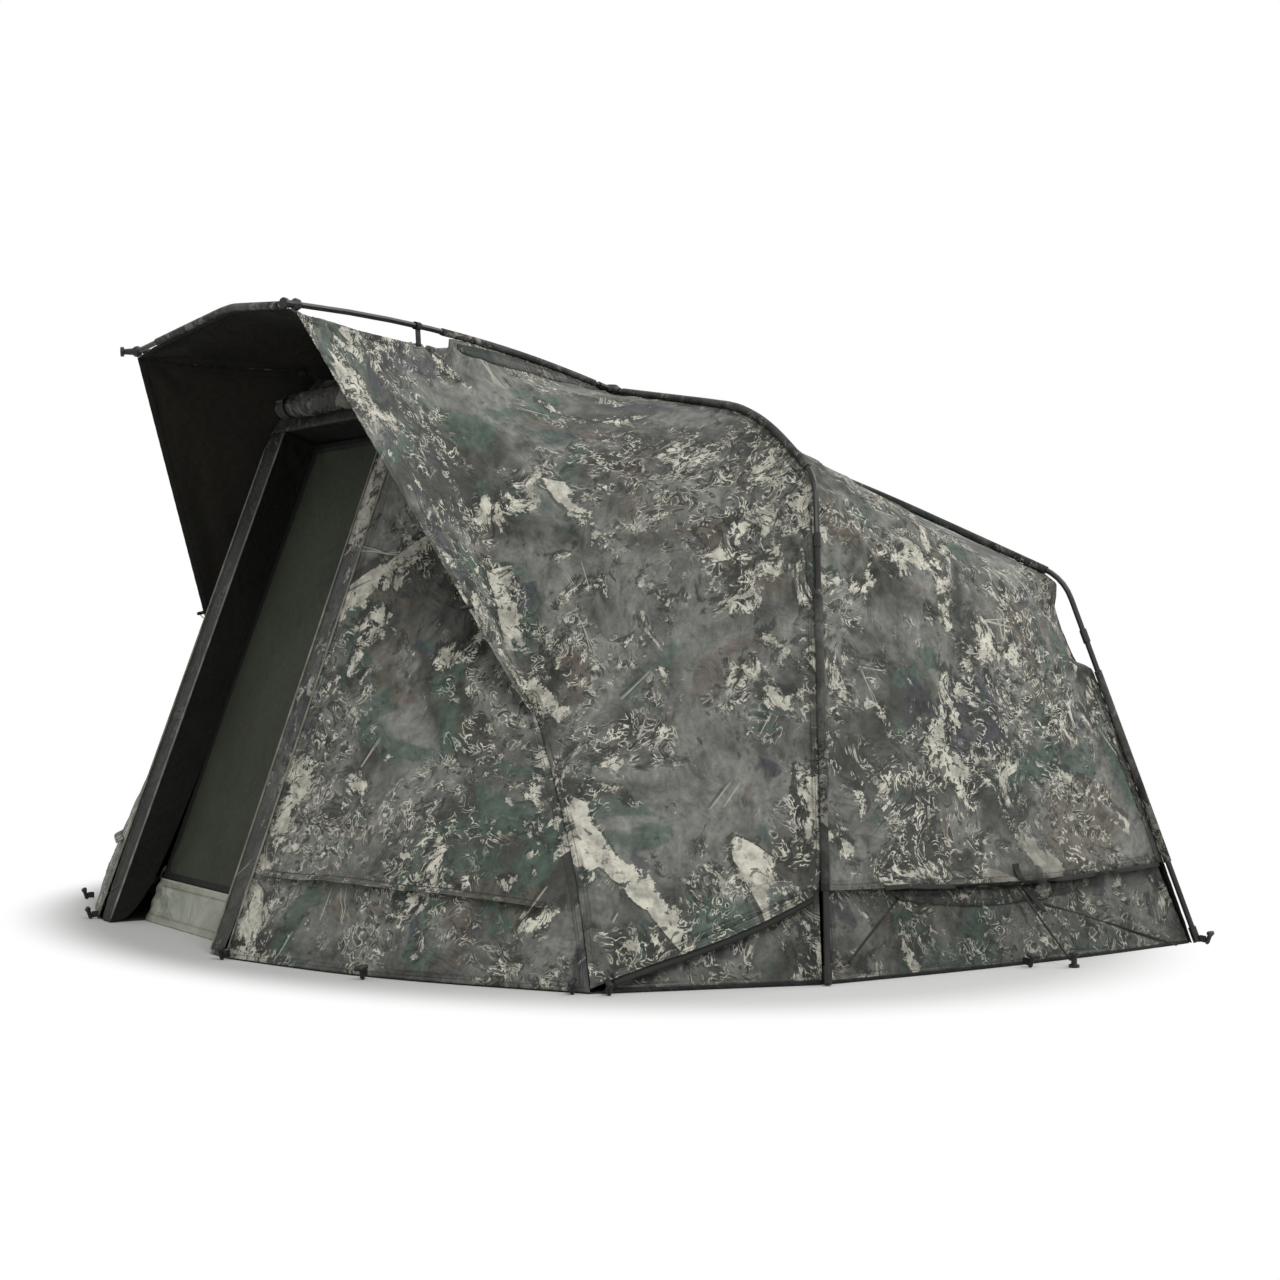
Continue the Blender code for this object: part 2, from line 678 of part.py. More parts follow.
def hood_roof_rows():
    notch = HOOD_SEAM_LENGTH - NOTCH_FROM_TIP
    to_notch = spread(part_of(FRONT_TO_HOOD, 0, notch), PANEL_STEPS)
    to_tip = spread(part_of(FRONT_TO_HOOD, notch, HOOD_SEAM_LENGTH), WING_TOP_STEPS)
    left, right = across_middle(to_notch + to_tip[1:])
    crown = spread([left[0], right[0]], ROOF_STEPS)
    bar = spread(offset(fine(BAR_LINE[::-1], BAR_BEND), SEAM_DROP), ROOF_STEPS)
    bar[0], bar[-1] = left[-1], right[-1]
    return pressed(patch(crown, bar, left, right), slack(ROOF_SAG, ROOF_FOLDS, 0))


def wing_rows():
    valley = offset(VALLEY_LINE, 0, -VALLEY_GAP)[:WING_STEPS + 1]
    edge_end = valley[-1] + (TIP - NOTCH).normalized() * WING_END_WIDTH
    clear = part_of(FRONT_TO_SIDE, FRONT_SEAM_LENGTH - NOTCH_FROM_TIP, FRONT_SEAM_LENGTH)
    top = spread(clear, WING_TOP_STEPS)[::-1]
    valley[0] = top[-1]
    free_edge = spread([top[0], edge_end], WING_STEPS)
    bottom = spread([edge_end, valley[-1]], WING_TOP_STEPS)
    return patch(top, bottom, free_edge, valley)


def side_lower_edge():
    return above(SIDE_TO_FRONT, LOWER_EDGE_HEIGHT)


def front_side_rows():
    rib = side_lower_edge()
    top = spread(part_of(FRONT_TO_SIDE, 0, FRONT_SEAM_LENGTH - NOTCH_FROM_TIP), PANEL_STEPS)[::-1]
    valley = offset(VALLEY_LINE, 0, VALLEY_GAP)
    valley[0] = top[0] + (top[1] - top[0]).normalized() * 2 * VALLEY_GAP
    top[0] = valley[0]
    right = [top[-1]] + rib_points(rib, SIDE_CORNERS, FRONT_RIB_STEPS)
    bottom = spread([valley[-1], rib[-1]], PANEL_STEPS)
    return pressed(patch(top, bottom, valley, right), slack(PANEL_SAG, SIDE_FOLDS, 1))


def rear_side_rows():
    front = above(SIDE_TO_REAR, LOWER_EDGE_HEIGHT)
    back = above(REAR_TO_SIDE, LOWER_EDGE_HEIGHT)
    vent = at(VENT_HALF_WIDTH, VENT_BACK, VENT_HEIGHT)
    bottom = spread(bent([front[-1], vent, back[-1]], [VENT_BEND]), PANEL_BOTTOM_STEPS)
    top = spread([front[0], back[0]], PANEL_BOTTOM_STEPS)
    left = rib_points(front, SIDE_CORNERS, RIB_STEPS)
    rows = patch(top, bottom, left, rib_points(back, REAR_CORNERS, RIB_STEPS))
    return pressed(rows, slack(PANEL_SAG, SIDE_FOLDS, -1))


def elbow_split():
    """How far down the rear seam the eave leaves it."""
    return distance_at_height(REAR_TO_BACK, REAR_ELBOW_HEIGHT - SEAM_DROP)


def eave(aside):
    end = point_on(REAR_TO_BACK, elbow_split() + aside)
    middle = at(0, EAVE_BACK, EAVE_HEIGHT - aside)
    return bent([mirrored([end], -1)[0], middle, end], [REAR_ELBOW_HALF_WIDTH / 2], 2 * BEND_STEPS)


def rear_roof_rows():
    edge = eave(-RIB_SEAM_GAP)
    bend = distance_at_height(REAR_TO_BACK, seam_corners(REAR_CORNERS)[2].z - SEAM_DROP)
    rib = spread(part_of(REAR_TO_BACK, 0, bend), REAR_ROOF_STEPS)
    left, right = across_middle([*rib, point_on(REAR_TO_BACK, elbow_split() - RIB_SEAM_GAP)])
    crown = spread([left[0], right[0]], ROOF_STEPS)
    return pressed(patch(crown, spread(edge, ROOF_STEPS), left, right), slack(ROOF_SAG, ROOF_FOLDS, 0))


def rear_hem():
    foot = foot_inside(REAR_FOOT, RIB_SEAM_GAP) + Vector((0, 0, HEM_LIFT))
    middle = at(0, 2 * REAR_HEM_BACK - REAR_FOOT_BACK, HEM_LIFT)
    bow = REAR_FOOT_HALF_WIDTH * REAR_BOW_SHARE
    return bent([mirrored([foot], -1)[0], middle, foot], [bow], 2 * BEND_STEPS)


def rear_wall_rows():
    edge = eave(RIB_SEAM_GAP)
    hem = rear_hem()
    bend = distance_at_height(REAR_TO_BACK, seam_corners(REAR_CORNERS)[3].z)
    rib = part_of(REAR_TO_BACK, bend, distance_at_height(REAR_TO_BACK, LOWER_EDGE_HEIGHT))
    rib = [point_on(REAR_TO_BACK, elbow_split() + RIB_SEAM_GAP), *spread(rib, REAR_WALL_STEPS), hem[-1]]
    left, right = across_middle(rib)
    rows = patch(spread(edge, PANEL_STEPS), spread(hem, PANEL_STEPS), left, right)
    return pressed(rows, slack(PANEL_SAG, SIDE_FOLDS, 0))


def tucked(panel, hem, down=SKIRT_STEPS):
    """A skirt that starts behind a panel's lower edge and comes down to the hem."""
    across = len(panel[-1]) - 1
    top, step_in = [], []
    for i in range(across + 1):
        normal = outward(panel, len(panel) - 1, i)
        edge = panel[-1][i]
        rise = (panel[-2][i] - edge).normalized() * SKIRT_TUCK
        top.append(edge + rise - normal * (FABRIC + CLEARANCE * 2))
        step_in.append(edge - normal * (FABRIC + SKIRT_STAND_OFF))
    hem_points = spread(hem, across)
    rows = [top, step_in]
    rows += [[a.lerp(b, k / down) for a, b in zip(step_in, hem_points)] for k in range(1, down + 1)]
    for row in rows:
        row[0] = row[0].lerp(row[1], SKIRT_END_SHARE)
        row[-1] = row[-1].lerp(row[-2], SKIRT_END_SHARE)
    return rows


def lifted(point):
    return point + Vector((0, 0, HEM_LIFT))


def front_skirt_rows(panel):
    corner = at(CORNER_HALF_WIDTH, CORNER_BACK, 0)
    foot = foot_inside(SIDE_FOOT, -RIB_SEAM_GAP)
    start = corner.lerp(foot, SKIRT_TUCK / (foot - corner).length)
    rows = tucked([row[1:] for row in panel], [lifted(start), lifted(foot)])
    return rows


def rear_skirt_hem():
    front = foot_inside(SIDE_FOOT, RIB_SEAM_GAP)
    back = foot_inside(REAR_FOOT, -RIB_SEAM_GAP)
    middle = at(SIDE_HEM_HALF_WIDTH, SIDE_HEM_BACK, 0)
    return [lifted(p) for p in bent([front, middle, back], [SIDE_FOOT_BACK / 2])]


# The front wall

def window_hem():
    start = on_door(door_half_width(0) + JAMB_WIDTH + SEAM_GAP * 2, up_for(HEM_LIFT), 0)
    middle = at(FRONT_HEM_HALF_WIDTH, FRONT_HEM_BACK, HEM_LIFT)
    end = at(CORNER_HALF_WIDTH, CORNER_BACK, HEM_LIFT)
    return bent([start, middle, end], [FRONT_HEM_HALF_WIDTH / 4])


def window_rows():
    diagonal = offset(VALLEY_LINE, WINDOW_GAP)[WINDOW_START_STEPS:]
    jamb = jamb_edge(JAMB_WIDTH + SEAM_GAP * 2, steps=len(diagonal) - 1)
    hem = window_hem()
    hem[-1] = diagonal[-1] = Vector((diagonal[-1].x, diagonal[-1].y, HEM_LIFT))
    top = spread([jamb[0], diagonal[0]], WINDOW_STEPS)
    rows = patch(top, spread(hem, WINDOW_STEPS), jamb, diagonal)
    return pressed(rows, slack(-PANEL_SAG, 2, 1))


def header_rows(roof):
    """The wall over the doorway, from the hood roof down to the door's plane and back in to the door."""
    row = roof[round((len(roof) - 1) * HEADER_SHARE)]
    inset = [point_on(row, HEADER_INSET), *row[1:-1], point_on(row, length_of(row) - HEADER_INSET)]
    under = [point - Vector((0, 0, FABRIC + CLEARANCE * 3)) for point in inset]
    places = [point.x / under[-1].x for point in under]
    top = up_for(DOOR_TOP_HEIGHT)
    fold = [on_door(HEADER_FOLD_HALF_WIDTH * x, up_for(HEADER_FOLD_HEIGHT), 0) for x in places]
    front = [on_door((DOOR_TOP_HALF_WIDTH + JAMB_WIDTH) * x, top, 0) for x in places]
    back = [on_door((DOOR_TOP_HALF_WIDTH - DOOR_SIDE_GAP) * x, top, DOOR_DEPTH - FABRIC) for x in places]
    right = offset(VALLEY_LINE, WINDOW_GAP)[:WINDOW_START_STEPS + 1]
    right[-1] += (right[-2] - right[-1]).normalized() * SEAM_GAP * 4
    left = mirrored(right, -1)
    rows = [[a, *inner, b] for a, inner, b in zip(left, (under, fold, front), right)]
    ends = back[0].lerp(left[-1], HEADER_END_SHARE), back[-1].lerp(right[-1], HEADER_END_SHARE)
    return [*rows, [ends[0], *back, ends[1]]]


def jamb_rows():
    outer = jamb_edge(JAMB_WIDTH)
    middle = jamb_edge(JAMB_WIDTH / 2)
    edge = jamb_edge(0)
    inner = jamb_edge(0, RECESS_DEPTH)
    return [outer, middle, edge, inner]


def door_rows(down=DOOR_STEPS):
    low = up_for(DOOR_BOTTOM_HEIGHT, DOOR_DEPTH)
    high = up_for(DOOR_TOP_HEIGHT) - FABRIC
    rows = []
    for j in range(down + 1):
        up = high + (low - high) * j / down
        half = door_half_width(up) - DOOR_SIDE_GAP
        rows.append([on_door(half * share, up, DOOR_DEPTH) for share in DOOR_PLACE_SHARES])
    return rows


def mud_flap_rows():
    low = up_for(HEM_LIFT, MUD_FLAP_DEPTH)
    high = up_for(MUD_FLAP_HEIGHT, MUD_FLAP_DEPTH)
    rows = []
    for k in range(MUD_FLAP_STEPS + 1):
        up = low + (high - low) * k / MUD_FLAP_STEPS
        half = door_half_width(up) - FABRIC / 2 - CLEARANCE * 2
        rows.append([on_door(half * share, up, MUD_FLAP_DEPTH) for share in MUD_FLAP_PLACE_SHARES])
    return rows


def make_door_roll():
    front = DOOR_ROLL_RADIUS + FABRIC / 2 + CLEARANCE
    centre = on_door(0, up_for(DOOR_ROLL_HEIGHT), -front)
    path = [centre + Vector((share * DOOR_ROLL_HALF_LENGTH, 0, 0)) for share in ROLL_PLACE_SHARES]
    tie = DOOR_ROLL_TIE_RADIUS / DOOR_ROLL_RADIUS
    factors = [tie + (1 - tie) * share for share in ROLL_FULLNESS_SHARES]
    tube("door_cover_roll", path, DOOR_ROLL_RADIUS, "camo_cloth", factors, resolution=ROLL_RESOLUTION)
    seat = centre - INTO_TENT * (DOOR_ROLL_TIE_RADIUS + TOGGLE_RADIUS + CLEARANCE)
    for side, sign in SIDES.items():
        middle = seat + Vector((TOGGLE_PLACE * sign, 0, 0))
        half = Vector((TOGGLE_LENGTH / 2, 0, 0))
        ends = [middle + half * share for share in TOGGLE_PLACE_SHARES]
        name = f"door_toggle_{side}"
        radii = TOGGLE_RADIUS_SHARES
        barrel = tube(name, ends, TOGGLE_RADIUS, "black_plastic", radii, resolution=TOGGLE_RESOLUTION)
        barrel.data.transform(Matrix.Translation(-middle))
        barrel.location = middle


def make_window_rolls(rows):
    """The window's cover, rolled up beside the diagonal seam and lying on the panel."""
    path = []
    lift = WINDOW_ROLL_RADIUS + FABRIC / 2 + CLEARANCE * 3
    for j, row in enumerate(rows):
        if length_of(row) > 2 * WINDOW_ROLL_ASIDE and row[0].z > WINDOW_ROLL_END_HEIGHT:
            spot = point_on(row[::-1], WINDOW_ROLL_ASIDE)
            path.append(spot + outward(rows, j, len(row) - 2) * lift)
    for side, sign in SIDES.items():
        name = f"window_cover_roll_{side}"
        tube(name, mirrored(path, sign), WINDOW_ROLL_RADIUS, "camo_cloth", resolution=TOGGLE_RESOLUTION)


# Zips

def small_block(name, size, bevel, colour):
    mesh = bpy.data.meshes.new(name)
    work = bmesh.new()
    bmesh.ops.create_cube(work, size=1, matrix=Matrix.Diagonal((*size, 1)))
    bmesh.ops.bevel(work, geom=work.edges[:], offset=bevel, segments=1, affect="EDGES")
    work.to_mesh(mesh)
    work.free()
    return finish(bpy.data.objects.new(name, mesh), colour)


def make_zips():
    """A slider low on each side of the door, with a pull that lies down on it."""
    high, low = up_for(DOOR_TOP_HEIGHT), SLIDER_REST
    run = on_door(door_half_width(high), high, 0) - on_door(door_half_width(low), low, 0)
    up = run.normalized()
    across = up.cross(INTO_TENT).normalized()
    depth = DOOR_DEPTH - FABRIC / 2 - CLEARANCE * 2 - SLIDER_HEIGHT / 2
    reach = door_half_width(low) - FABRIC / 2 - CLEARANCE * 2 - SLIDER_WIDTH / 2
    for side, sign in SIDES.items():
        x_axis = Vector((across.x, across.y * sign, across.z * sign))
        z_axis = Vector((up.x * sign, up.y, up.z))
        turn = Matrix((x_axis, z_axis.cross(x_axis), z_axis)).transposed().to_4x4()
        slider = small_block(
            f"zip_slider_{side}", (SLIDER_WIDTH, SLIDER_HEIGHT, SLIDER_LENGTH), SLIDER_BEVEL, "zip_metal"
        )
        slider.matrix_world = Matrix.Translation(on_door(reach * sign, low, depth)) @ turn
        pull = small_block(
            f"zip_pull_{side}", (PULL_WIDTH, PULL_THICKNESS, PULL_LENGTH), PULL_THICKNESS / 3, "zip_metal"
        )
        pull.data.transform(Matrix.Translation((0, 0, (PULL_THICKNESS - PULL_LENGTH) / 2)))
        front = depth - SLIDER_HEIGHT / 2 - CLEARANCE - PULL_THICKNESS / 2
        pull.matrix_world = Matrix.Translation(on_door(reach * sign, low, front)) @ turn


def make_guys(vent_row):
    """A taut cord from the middle of each vent's edge to its peg."""
    middle = vent_row[len(vent_row) // 2]
    peg = at(PEG_HALF_WIDTH, PEG_BACK, 0)
    towards = Vector((middle.x - peg.x, middle.y - peg.y, 0)).normalized()
    neck = peg + towards * PEG_NECK_RADIUS + Vector((0, 0, GUY_END_HEIGHT))
    run = (neck - middle).normalized()
    start = middle + run * (FABRIC / 2 + CLEARANCE)
    end = neck + towards * (GUY_RADIUS * abs(run.z) + CLEARANCE)
    path = spread([start, end], GUY_STEPS)
    radii = [PEG_RADIUS, PEG_RADIUS, PEG_NECK_RADIUS, PEG_NECK_RADIUS, PEG_RADIUS, PEG_RADIUS]
    heights = [peg + Vector((0, 0, PEG_HEIGHT * share)) for share in PEG_HEIGHT_SHARES]
    factors = [radius / PEG_RADIUS for radius in radii]
    for side, sign in SIDES.items():
        tube(f"vent_guy_{side}", mirrored(path, sign), GUY_RADIUS, "guy_cord")
        tube(f"guy_peg_{side}", mirrored(heights, sign), PEG_RADIUS, "black_plastic", factors)


# Groundsheet

def make_groundsheet():
    """A flat sheet inside the hems, cut back round the doorway's returns."""
    returns = SHEET_INSET + FABRIC / 2
    flap_back = on_door(0, up_for(SHEET_THICKNESS, MUD_FLAP_DEPTH), MUD_FLAP_DEPTH).y + FABRIC
    return_back = on_door(0, up_for(SHEET_THICKNESS, RECESS_DEPTH), RECESS_DEPTH).y + SHEET_INSET
    half = door_half_width(0)
    floor_line = at(0, 0, 0).y + SHEET_INSET
    outline = [
        Vector((half - returns, flap_back, 0)),
        Vector((half - returns, return_back, 0)),
        Vector((half + returns, return_back, 0)),
        Vector((half + returns, floor_line, 0)),
    ]
    rear = spread(rear_hem(), PANEL_STEPS)[PANEL_STEPS // 2 + 1:]
    side_hem = spread(window_hem(), FRONT_HEM_STEPS) + spread(rear_skirt_hem(), SIDE_HEM_STEPS) + rear[::-1]
    for point in side_hem:
        inward = Vector((-point.x, CORE.y - point.y, 0)).normalized()
        outline.append(Vector((point.x, point.y, 0)) + inward * SHEET_SIDE_INSET)
    loop = outline + mirrored(outline[::-1], -1)
    curve = bpy.data.curves.new("groundsheet", "CURVE")
    curve.dimensions = "2D"
    curve.fill_mode = "BOTH"
    curve.extrude = SHEET_THICKNESS / 2
    spline = curve.splines.new("POLY")
    spline.points.add(len(loop) - 1)
    for k, point in enumerate(loop):
        spline.points[k].co = (point.x, point.y, 0, 1)
    spline.use_cyclic_u = True
    sheet = finish(bpy.data.objects.new("groundsheet", curve), "groundsheet_cloth")
    sheet.location = (0, 0, SHEET_THICKNESS / 2)


def main():
    clear_scene()
    for name in ("bivvy_tent", "guides"):
        if name in bpy.data.collections:
            bpy.data.collections.remove(bpy.data.collections[name])
        bpy.context.scene.collection.children.link(bpy.data.collections.new(name))
    make_hub()
    make_front_frame()
    make_rib("side", SIDE_LINE, SIDE_ELBOW_HEIGHT, SIDE_SLEEVE_BELOW_ELBOW)
    make_rib("rear", REAR_LINE, REAR_ELBOW_HEIGHT, REAR_SLEEVE_BELOW_ELBOW)
    roof, front_side, rear_side = hood_roof_rows(), front_side_rows(), rear_side_rows()
    window = window_rows()
    cloth("hood_roof", roof, "camo_cloth")
    cloth("rear_roof_panel", rear_roof_rows(), "camo_cloth")
    cloth("rear_wall_panel", rear_wall_rows(), "camo_cloth")
    cloth("door_header", header_rows(roof), "camo_cloth")
    both_sides("hood_wing", wing_rows(), "camo_cloth")
    both_sides("front_side_panel", front_side, "camo_cloth")
    both_sides("rear_side_panel", rear_side, "camo_cloth")
    both_sides("front_side_skirt", front_skirt_rows(front_side), "camo_cloth")
    both_sides("rear_side_skirt", tucked(rear_side, rear_skirt_hem()), "camo_cloth")
    both_sides("window_panel", window, "camo_cloth")
    both_sides("door_jamb", jamb_rows(), "camo_cloth")
    cloth("mud_flap", mud_flap_rows(), "mud_flap_cloth")
    door = cloth("door_panel", door_rows(), "door_cloth")
    hinge = on_door(0, up_for(DOOR_TOP_HEIGHT) - FABRIC, DOOR_DEPTH)
    door.data.transform(Matrix.Translation(-hinge))
    door.location = hinge
    make_door_roll()
    make_window_rolls(window)
    make_zips()
    make_guys(rear_side[-1])
    make_groundsheet()


main()
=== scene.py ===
"""A bivvy tent dressed for its picture: cloth, seams, poles, fasteners, ground and light.

Metres, +Z up, front towards -Y. Pixels are those of the photograph, 1280 to a side.
"""

import math

import bmesh
import bpy
import numpy as np
from mathutils import Matrix, Vector, noise
from mathutils.bvhtree import BVHTree
from mathutils.kdtree import KDTree


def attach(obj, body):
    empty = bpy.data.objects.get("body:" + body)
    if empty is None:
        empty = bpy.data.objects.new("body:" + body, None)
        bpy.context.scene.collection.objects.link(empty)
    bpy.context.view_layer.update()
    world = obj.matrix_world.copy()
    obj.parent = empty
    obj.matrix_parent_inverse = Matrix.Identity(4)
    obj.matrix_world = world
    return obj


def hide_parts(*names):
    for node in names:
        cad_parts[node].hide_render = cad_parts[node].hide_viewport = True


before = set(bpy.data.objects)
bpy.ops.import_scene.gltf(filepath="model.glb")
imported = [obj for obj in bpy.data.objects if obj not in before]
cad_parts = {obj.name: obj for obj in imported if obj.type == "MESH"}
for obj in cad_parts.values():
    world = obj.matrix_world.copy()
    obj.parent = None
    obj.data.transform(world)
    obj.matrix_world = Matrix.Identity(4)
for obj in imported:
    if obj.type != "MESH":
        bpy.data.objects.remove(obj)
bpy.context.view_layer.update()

FRONT_SETBACK = 1.214
FABRIC = 0.0020
CLOTH_THICKNESS = 0.0014
WELD = 0.00001
RIM_TOLERANCE = 0.00015
LEAN = math.atan2(0.516, 1.392)
MIDDLE = Vector((0, 0.162, 0.749))
SIDES = {"right": 1, "left": -1}
PICTURE = 1280
LENS = 66.3
SENSOR = 36


def at(x, y, z):
    """A point measured back from the door line."""
    return Vector((x, y - FRONT_SETBACK, z))


def on_door(x, up, depth):
    """A point on the doorway's plane: across, up its slope, and back from it."""
    up_slope = Vector((0, math.sin(LEAN), math.cos(LEAN)))
    into_tent = Vector((0, math.cos(LEAN), -math.sin(LEAN)))
    return at(x, 0, 0) + up_slope * up + into_tent * depth


def link(item):
    bpy.context.scene.collection.objects.link(item)
    return item


def evaluated_mesh(item):
    """The mesh that an item's modifiers or its curve make."""
    bpy.context.view_layer.update()
    return bpy.data.meshes.new_from_object(item.evaluated_get(bpy.context.evaluated_depsgraph_get()))


def apply_modifiers(piece):
    done = evaluated_mesh(piece)
    piece.modifiers.clear()
    piece.data = done
    done.name = piece.name


def opened(mesh):
    """A mesh open for editing."""
    work = bmesh.new()
    work.from_mesh(mesh)
    return work


def welded(mesh):
    """A mesh open for editing, with the points that lie at one place made one."""
    work = opened(mesh)
    bmesh.ops.remove_doubles(work, verts=work.verts, dist=WELD)
    return work


def shade(red, green, blue):
    """A screen colour, 0 to 255, as the light it stands for."""
    levels = [value / 255 for value in (red, green, blue)]
    return [v / 12.92 if v <= 0.04045 else ((v + 0.055) / 1.055) ** 2.4 for v in levels] + [1.0]


# Camera

def make_camera():
    lens = bpy.data.cameras.new("picture_camera")
    lens.lens = LENS
    lens.sensor_width = SENSOR
    camera = link(bpy.data.objects.new("picture_camera", lens))
    camera.location = (5.873, -3.370, 0.787)
    camera.rotation_euler = (math.radians(90 - 0.122), 0, math.radians(58.28))
    bpy.context.scene.camera = camera
    return camera


def picture_ray(camera, pixel, sign):
    """The line of sight through a pixel of the photograph, or its mirror image for the left side."""
    aim = Vector((pixel[0] - PICTURE / 2, PICTURE / 2 - pixel[1], -PICTURE * LENS / SENSOR))
    aim = camera.rotation_euler.to_matrix() @ aim
    mirror = Matrix.Diagonal((sign, 1, 1))
    return mirror @ camera.location, mirror @ aim.normalized()


# Finishes

def socket_math(operation, swapped=False):
    """A method of Value that adds one Math node, its two inputs swapped if that is wanted."""
    def method(self, other=0.5):
        inputs = {0: other, 1: self} if swapped else {0: self, 1: other}
        return self.finish.node("Math", {"operation": operation}, inputs)
    return method


class Value:
    """One socket of a finish, so that sums on sockets read as plain sums."""

    __add__ = __radd__ = socket_math("ADD")
    __mul__ = __rmul__ = socket_math("MULTIPLY")
    __sub__ = socket_math("SUBTRACT")
    __rsub__ = socket_math("SUBTRACT", swapped=True)
    __pow__ = socket_math("POWER")
    at_least = socket_math("MAXIMUM")
    fraction = socket_math("FRACT")
    away = socket_math("ABSOLUTE")

    def __init__(self, finish, socket):
        self.finish = finish
        self.socket = socket

    def other(self, output):
        """Another output of the node that this value comes from."""
        return Value(self.finish, self.socket.node.outputs[output])

    def rising(self, low, high):
        """0 below low, 1 above high, and smooth between; high below low turns it round."""
        return self.finish.node(
            "MapRange", {"interpolation_type": "SMOOTHSTEP"}, {0: self, 1: low, 2: high, 3: 0.0, 4: 1.0}
        )


class Finish:
    """A material under construction."""

    def __init__(self, name, roughness=0.8, metallic=0.0, specular=0.3):
        self.material = bpy.data.materials.new(name)
        self.material.use_nodes = True
        self.tree = self.material.node_tree
        self.shader = self.tree.nodes["Principled BSDF"]
        self.shader.inputs["Roughness"].default_value = roughness
        self.shader.inputs["Metallic"].default_value = metallic
        self.shader.inputs["Specular IOR Level"].default_value = specular

    def node(self, kind, settings=None, inputs=None, output=0):
        made = self.tree.nodes.new("ShaderNode" + kind)
        for name, value in (settings or {}).items():
            setattr(made, name, value)
        for name, value in (inputs or {}).items():
            if isinstance(value, Value):
                self.tree.links.new(value.socket, made.inputs[name])
            else:
                made.inputs[name].default_value = value
        return Value(self, made.outputs[output])

    def vector(self, operation, first, second=(0, 0, 0), output=0):
        return self.node("VectorMath", {"operation": operation}, {0: first, 1: second}, output)

    def place(self, turn=(0, 0, 0), shift=(0, 0, 0), stretch=(1, 1, 1)):
        """Where a point lies on the piece, turned, moved and stretched for a pattern."""
        spot = self.node("TexCoord", output="Object")
        turn = [math.radians(angle) for angle in turn]
        settings = {"Vector": spot, "Location": shift, "Rotation": turn, "Scale": stretch}
        return self.node("Mapping", None, settings)

    def height(self):
        """How far above the ground a point lies."""
        return self.node("SeparateXYZ", None, {0: self.node("TexCoord", output="Object")}, 2)

    def moved(self, place, shift):
        return self.vector("ADD", place, shift)

    def stretched(self, place, factors):
        return self.vector("MULTIPLY", place, factors)

    def cloud(self, place, scale, detail=2.0, roughness=0.5, distortion=0.0, output=0):
        sizes = {"Vector": place, "Scale": scale, "Detail": detail, "Roughness": roughness}
        return self.node("TexNoise", None, {**sizes, "Distortion": distortion}, output)

    def attribute(self, name):
        return self.node("Attribute", {"attribute_name": name}, output="Fac")

    def mix(self, share, first, second):
        return self.node("Mix", {"data_type": "RGBA"}, {0: share, 6: first, 7: second}, 2)

    def tint(self, colour, amount):
        """A colour made lighter or darker by a value round 1."""
        return self.node("VectorMath", {"operation": "SCALE"}, {0: colour, "Scale": amount})

    def bump(self, height, distance, strength=1.0, under=None):
        inputs = {"Height": height, "Distance": distance, "Strength": strength}
        if under:
            inputs["Normal"] = under
        return self.node("Bump", None, inputs)

    def set(self, **values):
        for name, value in values.items():
            socket = self.shader.inputs[name.replace("_", " ").title()]
            if isinstance(value, Value):
                self.tree.links.new(value.socket, socket)
            else:
                socket.default_value = value
        return self


SEAM_STITCH = 0.0125
HEM_BAND = 0.020


def seam_marks(finish):
    """The hem's turned-in step, its row of stitches, a rub along the edge and a painted shadow in the crease
    behind it.
    """
    inward = finish.attribute("seam_distance")
    run = finish.attribute("seam_run")
    step = inward.rising(HEM_BAND, HEM_BAND - 0.0025)
    dash = (run * 220.0).fraction().rising(0.30, 0.42)
    row = (inward - SEAM_STITCH).away().rising(0.0016, 0.0008) * dash
    rub = inward.rising(0.006, 0.0)
    # shadow: painted shade along the crease at the hem band's inner edge
    shadow = (inward - HEM_BAND).away().rising(0.0055, 0.0)
    return step, row, rub, shadow


def weave(finish, place, scale=900.0):
    """Fine crossed threads."""
    across = finish.node("TexWave", {"bands_direction": "X"}, {"Vector": place, "Scale": scale})
    along = finish.node("TexWave", {"bands_direction": "Z"}, {"Vector": place, "Scale": scale})
    return across * along


def creases(finish, place):
    """Soft crumples in cloth that has been packed, 1 to 5 cm apart."""
    broad = finish.cloud(place, 9.0, 3.0, 0.55, 0.6)
    ridge = 1.0 - ((broad - 0.5) * 2.0).away()
    fine = finish.cloud(place, 34.0, 3.0, 0.6, 0.4)
    return (ridge ** 3.0) * 0.75 + fine * 0.25


def scattered(f, spot, scale):
    """Cells with a middle each: the ray from it, its random draws, and the draws as a direction."""
    middle = f.node("TexVoronoi", None, {"Vector": spot, "Scale": scale}, "Position")
    draws = middle.other("Color")
    ray = f.vector("SUBTRACT", spot, middle)
    lean = f.vector("SUBTRACT", draws, (0.5, 0.5, 0.5))
    return ray, draws, lean


def across_ray(f, ray, lean, tilt):
    """How far a point lies from a plane through its cell's middle, tilted at random."""
    axis = f.vector("NORMALIZE", f.vector("ADD", lean, tilt))
    return f.vector("DOT_PRODUCT", ray, axis, 1)


def stalks(f, spot, scale, reach, width, low, tilts):
    """Thin straight stalks that spread to one side from each chosen middle, and taper."""
    ray, draws, lean = scattered(f, spot, scale)
    far = f.vector("LENGTH", ray, output=1)
    picked = f.node("SeparateColor", None, {0: draws})
    found = None
    for tilt in tilts:
        line = (across_ray(f, ray, lean, tilt).away() + far * (width * 5)).rising(width, width * 0.4)
        found = line if found is None else found.at_least(line)
    one_side = across_ray(f, ray, lean, (-0.5, 0.2, 0.6)).rising(-0.002, 0.002)
    return found * far.rising(reach, reach * 0.8) * picked.rising(low, low + 0.01) * one_side


